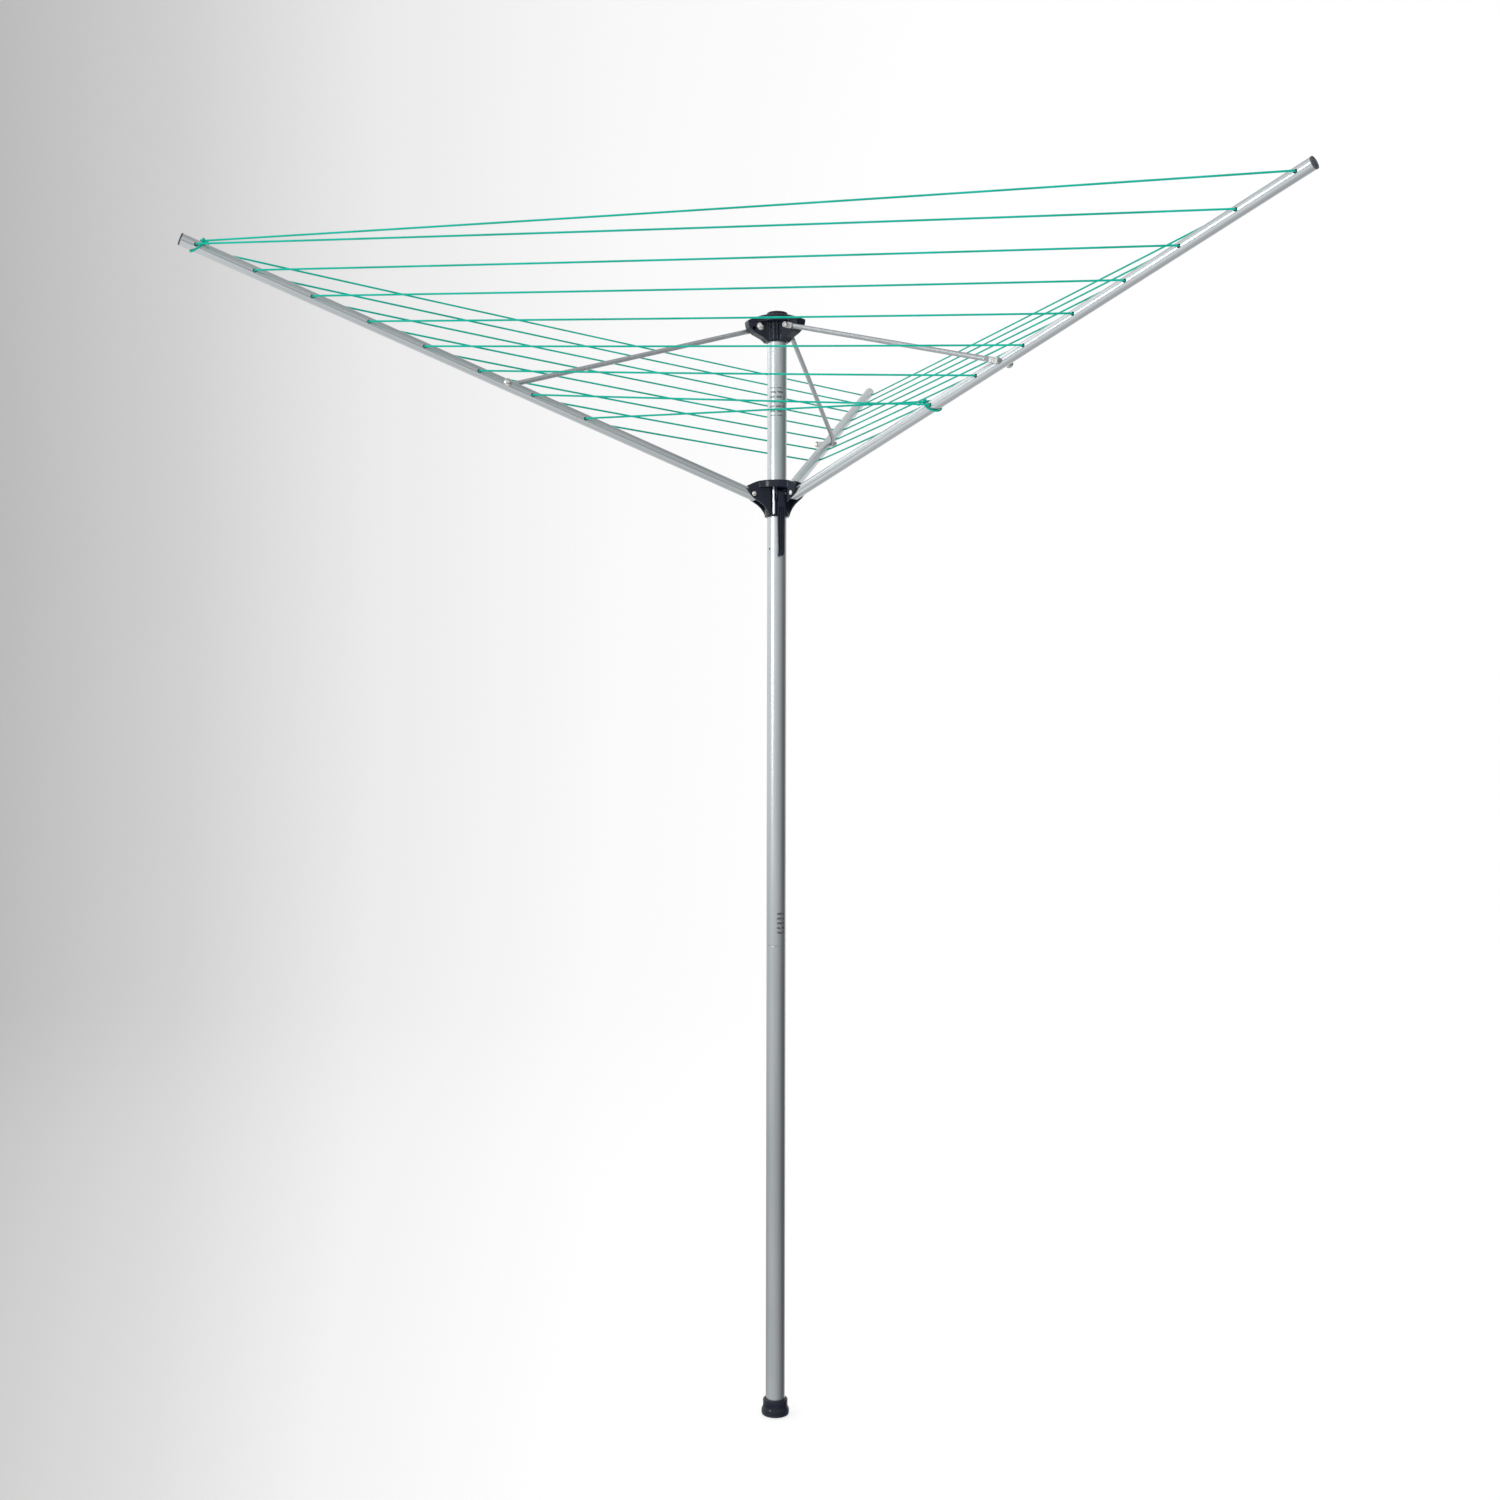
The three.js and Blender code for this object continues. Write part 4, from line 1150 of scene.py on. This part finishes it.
def make_arm(name):
    place = arm_frame(name)
    section = tube_profile(ARM_R, ARM_R - ARM_WALL, -ARM_TAIL, ARM_LENGTH, 0.0003)
    tube = turned(f"arm_tube_{name}", section, 72, ALONG_X)
    tail_x = ARM_R - ARM_TAIL
    keep = [
        block("run", (tail_x, -0.012, -0.012), (ARM_LENGTH + 0.001, 0.012, 0.012)),
        pin_shape("round", ARM_R, -0.0119, 0.0119, shift(tail_x, 0, 0), 48),
    ]
    cut(tube, keep, "INTERSECT")
    ways = [pin_shape("pivot", PIVOT_BORE, -0.02, 0.02, None, 24)]
    ways.append(pin_shape("elbow", BOLT_BORE, -0.02, 0.02, shift(ELBOW, 0, 0), 24))
    for number in range(1, HOLES + 1):
        at = shift(hole_at(number), 0, 0)
        ways.append(pin_shape("hole", HOLE_R, -0.02, 0.02, at, 28))
    cut(tube, ways)
    round_normals(shaded(tube, math.radians(25)), Matrix.Identity(4))
    tube.data.transform(place)
    finished(tube, ALUMINIUM, ARM_BODY[name], "aluminium_tube", f"arm_{name}")

    plug = ARM_R - ARM_WALL - GAP
    outside = [
        (0, -0.016), (plug - 0.0008, -0.016), (plug, -0.013), (plug, GAP),
        (ARM_R + 0.0002, GAP), (ARM_R + 0.0002, 0.0023), (ARM_R - 0.0008, 0.0025),
        (ARM_R - 0.0016, 0.0018), (ARM_R - 0.0042, 0.0018), (ARM_R - 0.0050, 0.0029),
        (0, 0.0033),
    ]
    cap = turned(f"arm_end_plug_{name}", rounded_profile(outside, 0.0005), 56, ALONG_X)
    cap.data.transform(place @ shift(ARM_LENGTH, 0, 0))
    finished(shaded(cap), PLUG, ARM_BODY[name], "navy_plastic", f"arm_cap_{name}")

    elbow = place @ shift(ELBOW, 0, 0)
    body = ARM_BODY[name]
    near = ARM_R + GAP
    far = near + SPACER_LENGTH
    bolt(f"elbow_domed_bolt_{name}", far + GAP, elbow, body, f"elbow_bolt_{name}")
    spacer = (f"elbow_turned_spacer_{name}", SPACER_R, near, far, elbow)
    ring(*spacer, ALUMINIUM, "aluminium_tube", body, f"elbow_spacer_{name}")
    washer = (f"elbow_ring_washer_{name}", WASHER_R, GAP - FLAT_INNER, -near, elbow)
    ring(*washer, STEEL, "bright_steel", body, f"elbow_washer_{name}")
    nut(f"elbow_hex_nut_{name}", elbow, body, f"elbow_nut_{name}")
    pivot = turn_z(AZIMUTH[name]) @ shift(ARM_PIVOT_R, 0, ARM_PIVOT_Z)
    head = (RIVET_R, PLATE_OUT + GAP, RIVET_HEAD, RIVET_HEAD_H)
    rivet(f"arm_pivot_rivet_{name}", *head, pivot, "runner", f"pivot_rivet_{name}")
    bolt(f"hub_domed_bolt_{name}", LUG_HALF + GAP, hub_pivot(name), "mast", f"hub_bolt_{name}")
    nut(f"hub_hex_nut_{name}", hub_pivot(name), "mast", f"hub_nut_{name}")


def strut_ring(x):
    """A strut's section at x from its nearer eye: x, side, half thickness, half height, roundness."""
    flat_y = -(FLAT_INNER + FLAT_T / 2)
    t = min(max((x - FLAT) / FLAT_BLEND, 0), 1)
    t = t * t * (3 - 2 * t)
    high = EYE_R * (1 - 0.14 * min(max(x / FLAT, 0), 1))
    if x < 0:
        high = math.sqrt(max(EYE_R**2 - x * x, 1e-10))
    return (
        x,
        flat_y + (-STRUT_SIDE - flat_y) * t,
        FLAT_T / 2 + (STRUT_R - FLAT_T / 2) * t,
        high + (STRUT_R - high) * t,
        t,
    )


def make_strut(name):
    """A round rod pressed flat into an eye at each end."""
    sides = 40
    near = [-EYE_R * math.cos(math.radians(a)) for a in (4, 10, 18, 28, 40, 55, 70, 90)]
    near += [FLAT * k / 6 for k in range(1, 7)]
    near += [FLAT + FLAT_BLEND * k / 8 for k in range(1, 9)]
    stations = [strut_ring(x) for x in near]
    far = [(STRUT_LENGTH - s[0], *s[1:]) for s in reversed(stations)]
    verts, faces, uvs = [], [], []
    rings = [*stations, *far]
    for x, y, across, high, round_ in rings:
        power = 2 + (1 - round_) * 3.0
        for i in range(sides):
            a = 2 * math.pi * i / sides
            c, s = math.cos(a), math.sin(a)
            side = y + across * math.copysign(abs(c) ** (2 / power), c)
            verts.append((x, side, high * math.copysign(abs(s) ** (2 / power), s)))
    for k in range(len(rings) - 1):
        for i in range(sides):
            j = (i + 1) % sides
            faces.append((k * sides + i, k * sides + j, (k + 1) * sides + j, (k + 1) * sides + i))
            u0, u1 = i * 0.0006, (i + 1) * 0.0006
            v0, v1 = rings[k][0], rings[k + 1][0]
            uvs.append([(u0, v0), (u1, v0), (u1, v1), (u0, v1)])
    last = (len(rings) - 1) * sides
    faces.append(tuple(reversed(range(sides))))
    faces.append(tuple(range(last, last + sides)))
    uvs.append([(0, 0)] * sides)
    uvs.append([(0, 0)] * sides)
    strut = new_object(f"strut_rod_{name}", verts, faces, uvs)
    weld(strut)
    ways = [pin_shape("way", BOLT_BORE, -0.03, 0, None, 28)]
    ways.append(pin_shape("way", BOLT_BORE, -0.03, 0, shift(STRUT_LENGTH, 0, 0), 28))
    cut(strut, ways)
    strut.data.transform(strut_frame(name))
    finished(shaded(strut, math.radians(40)), ROD, STRUT_BODY[name], "steel_rod", f"strut_{name}")


for arm_name in AZIMUTH:
    make_arm(arm_name)
    make_strut(arm_name)


def make_lever_pin():
    """A plain pin with turned-down ends, a little below the faces of the runner's ears."""
    r, half = 0.0015, 0.0080
    end = [(r, half - 0.0005), (r * 0.7, half), (0, half)]
    profile = [(x, -z) for x, z in reversed(end)] + end
    pin = turned("lever_hinge_pin", profile, 32, ALONG_Y)
    pin.data.transform(LEVER_PLACE @ LEVER_PIN)
    finished(shaded(pin), STEEL, "runner", "bright_steel", "lever_pin")


make_lever_pin()

# ---------- floor, light ----------


# The sweep's section: where the floor starts and where it begins to curve, and the wall's top.
SWEEP_NEAR = -14.0
SWEEP_FAR = 3.4
SWEEP_TOP = 8.0
SWEEP_CURVE = 2.2
SWEEP_HALF = 16.0
SWEEP_PALE = 0.94

# Its emitted tone against the direction from a point in front of it is painted shade: greyer to the
# left.
SWEEP_FROM_X = 0.55
SWEEP_FROM_Y = -3.0
SWEEP_PAINTED_SHADE = [
    (-1.3, 0.16), (-0.92, 0.20), (-0.70, 0.32), (-0.57, 0.50), (-0.45, 0.75), (-0.30, 0.90),
    (-0.1, 0.98), (0.6, 0.96),
]


def make_stage():
    """A pale sweep that glows: floor, a wide curve and a wall, with painted shade greyer to the left.
    """
    section = [(SWEEP_NEAR, 0.0), (-4.0, 0.0), (0.0, 0.0), (SWEEP_FAR, 0.0)]
    for k in range(1, 25):
        a = k / 24 * math.pi / 2
        section.append((SWEEP_FAR + SWEEP_CURVE * math.sin(a), SWEEP_CURVE * (1 - math.cos(a))))
    section.append((SWEEP_FAR + SWEEP_CURVE, SWEEP_TOP))
    verts = []
    for y, z in section:
        verts += [(-SWEEP_HALF, y, z), (SWEEP_HALF, y, z)]
    faces = [(2 * k, 2 * k + 1, 2 * k + 3, 2 * k + 2) for k in range(len(section) - 1)]
    sweep = new_object("studio_sweep", verts, faces)
    s = Surface("pale_sweep", (0.34, 0.34, 0.34), 0.9)
    s.inputs["Emission Strength"].default_value = 0.72
    x, y, _ = s.split("Object")
    depth = s.math("MAXIMUM", s.math("ADD", y, -SWEEP_FROM_Y), 0.6)
    across = s.math("DIVIDE", s.math("SUBTRACT", x, SWEEP_FROM_X), depth)
    # painted shade: the sweep's glow is greyer to the left
    tone = s.ramp(across, SWEEP_PAINTED_SHADE, -1.3, 0.7)
    beyond = s.ramp(y, [(-1.5, 0.0), (-0.7, 1.0)], -4, 4)
    s.feed(s.inputs["Emission Color"], s.mix(beyond, (SWEEP_PALE,) * 3, tone))
    sweep.data.materials.append(s.material)
    for face in sweep.data.polygons:
        face.use_smooth = True
    sweep.visible_glossy = False


def area_light(name, at, target, size, power):
    data = bpy.data.lights.new(name, "AREA")
    data.shape = "RECTANGLE"
    data.size, data.size_y = size
    data.energy = power
    lamp = bpy.data.objects.new(name, data)
    bpy.context.scene.collection.objects.link(lamp)
    way = Vector(target) - Vector(at)
    lamp.rotation_euler = way.to_track_quat("-Z", "Y").to_euler()
    lamp.location = at
    return lamp


ROOM_STRENGTH = 1.35
ROOM_RIGHT = (0.89, 0.454)  # the direction in plan in which the room gets darker
ROOM_ACROSS = [(-1, 0.95), (-0.6, 0.92), (-0.25, 0.80), (0.18, 0.66), (0.62, 0.44), (0.93, 0.19)]
ROOM_HEIGHT = [
    (-1, 0.62), (-0.75, 0.80), (-0.53, 0.90), (-0.42, 0.56), (-0.33, 0.34), (-0.27, 0.33),
    (-0.12, 0.54), (0.02, 0.74), (0.4, 0.86), (0.9, 0.60),
]
ROOM_BEHIND = 0.68


def make_world():
    """A soft room: bright to the left, darker to the right, with one dark band just below level."""
    world = bpy.data.worlds.new("studio")
    bpy.context.scene.world = world
    world.use_nodes = True
    g = Graph(world.node_tree)
    x, y, z = g.split("Generated")
    away = g.math("MULTIPLY", y, ROOM_RIGHT[1])
    right = g.math("ADD", g.math("MULTIPLY", x, ROOM_RIGHT[0]), away)
    across = g.ramp(right, ROOM_ACROSS, -1, 1)
    room = g.mix(1.0, across, g.ramp(z, ROOM_HEIGHT, -1, 1), "MULTIPLY")
    behind = g.ramp(y, [(0.70, 0.0), (0.84, 1.0)], -1, 1)
    background = world.node_tree.nodes["Background"]
    background.inputs["Strength"].default_value = ROOM_STRENGTH
    g.feed(background.inputs["Color"], g.mix(behind, room, (ROOM_BEHIND,) * 3))


make_stage()
make_world()
area_light("key_left", (-1.70, -2.20, 1.72), (0, 0, 1.6), (0.60, 0.8), 13)
area_light("upper_left", (-2.9, 1.0, 3.4), (0, 0, 1.6), (2.4, 2.4), 17)
fill_top = area_light("fill_top", (0.4, -0.9, 4.6), (0, 0, 1.0), (2.6, 2.6), 48)
fill_top.visible_glossy = False

bpy.context.scene.view_settings.view_transform = "Standard"
bpy.context.scene.view_settings.look = "None"
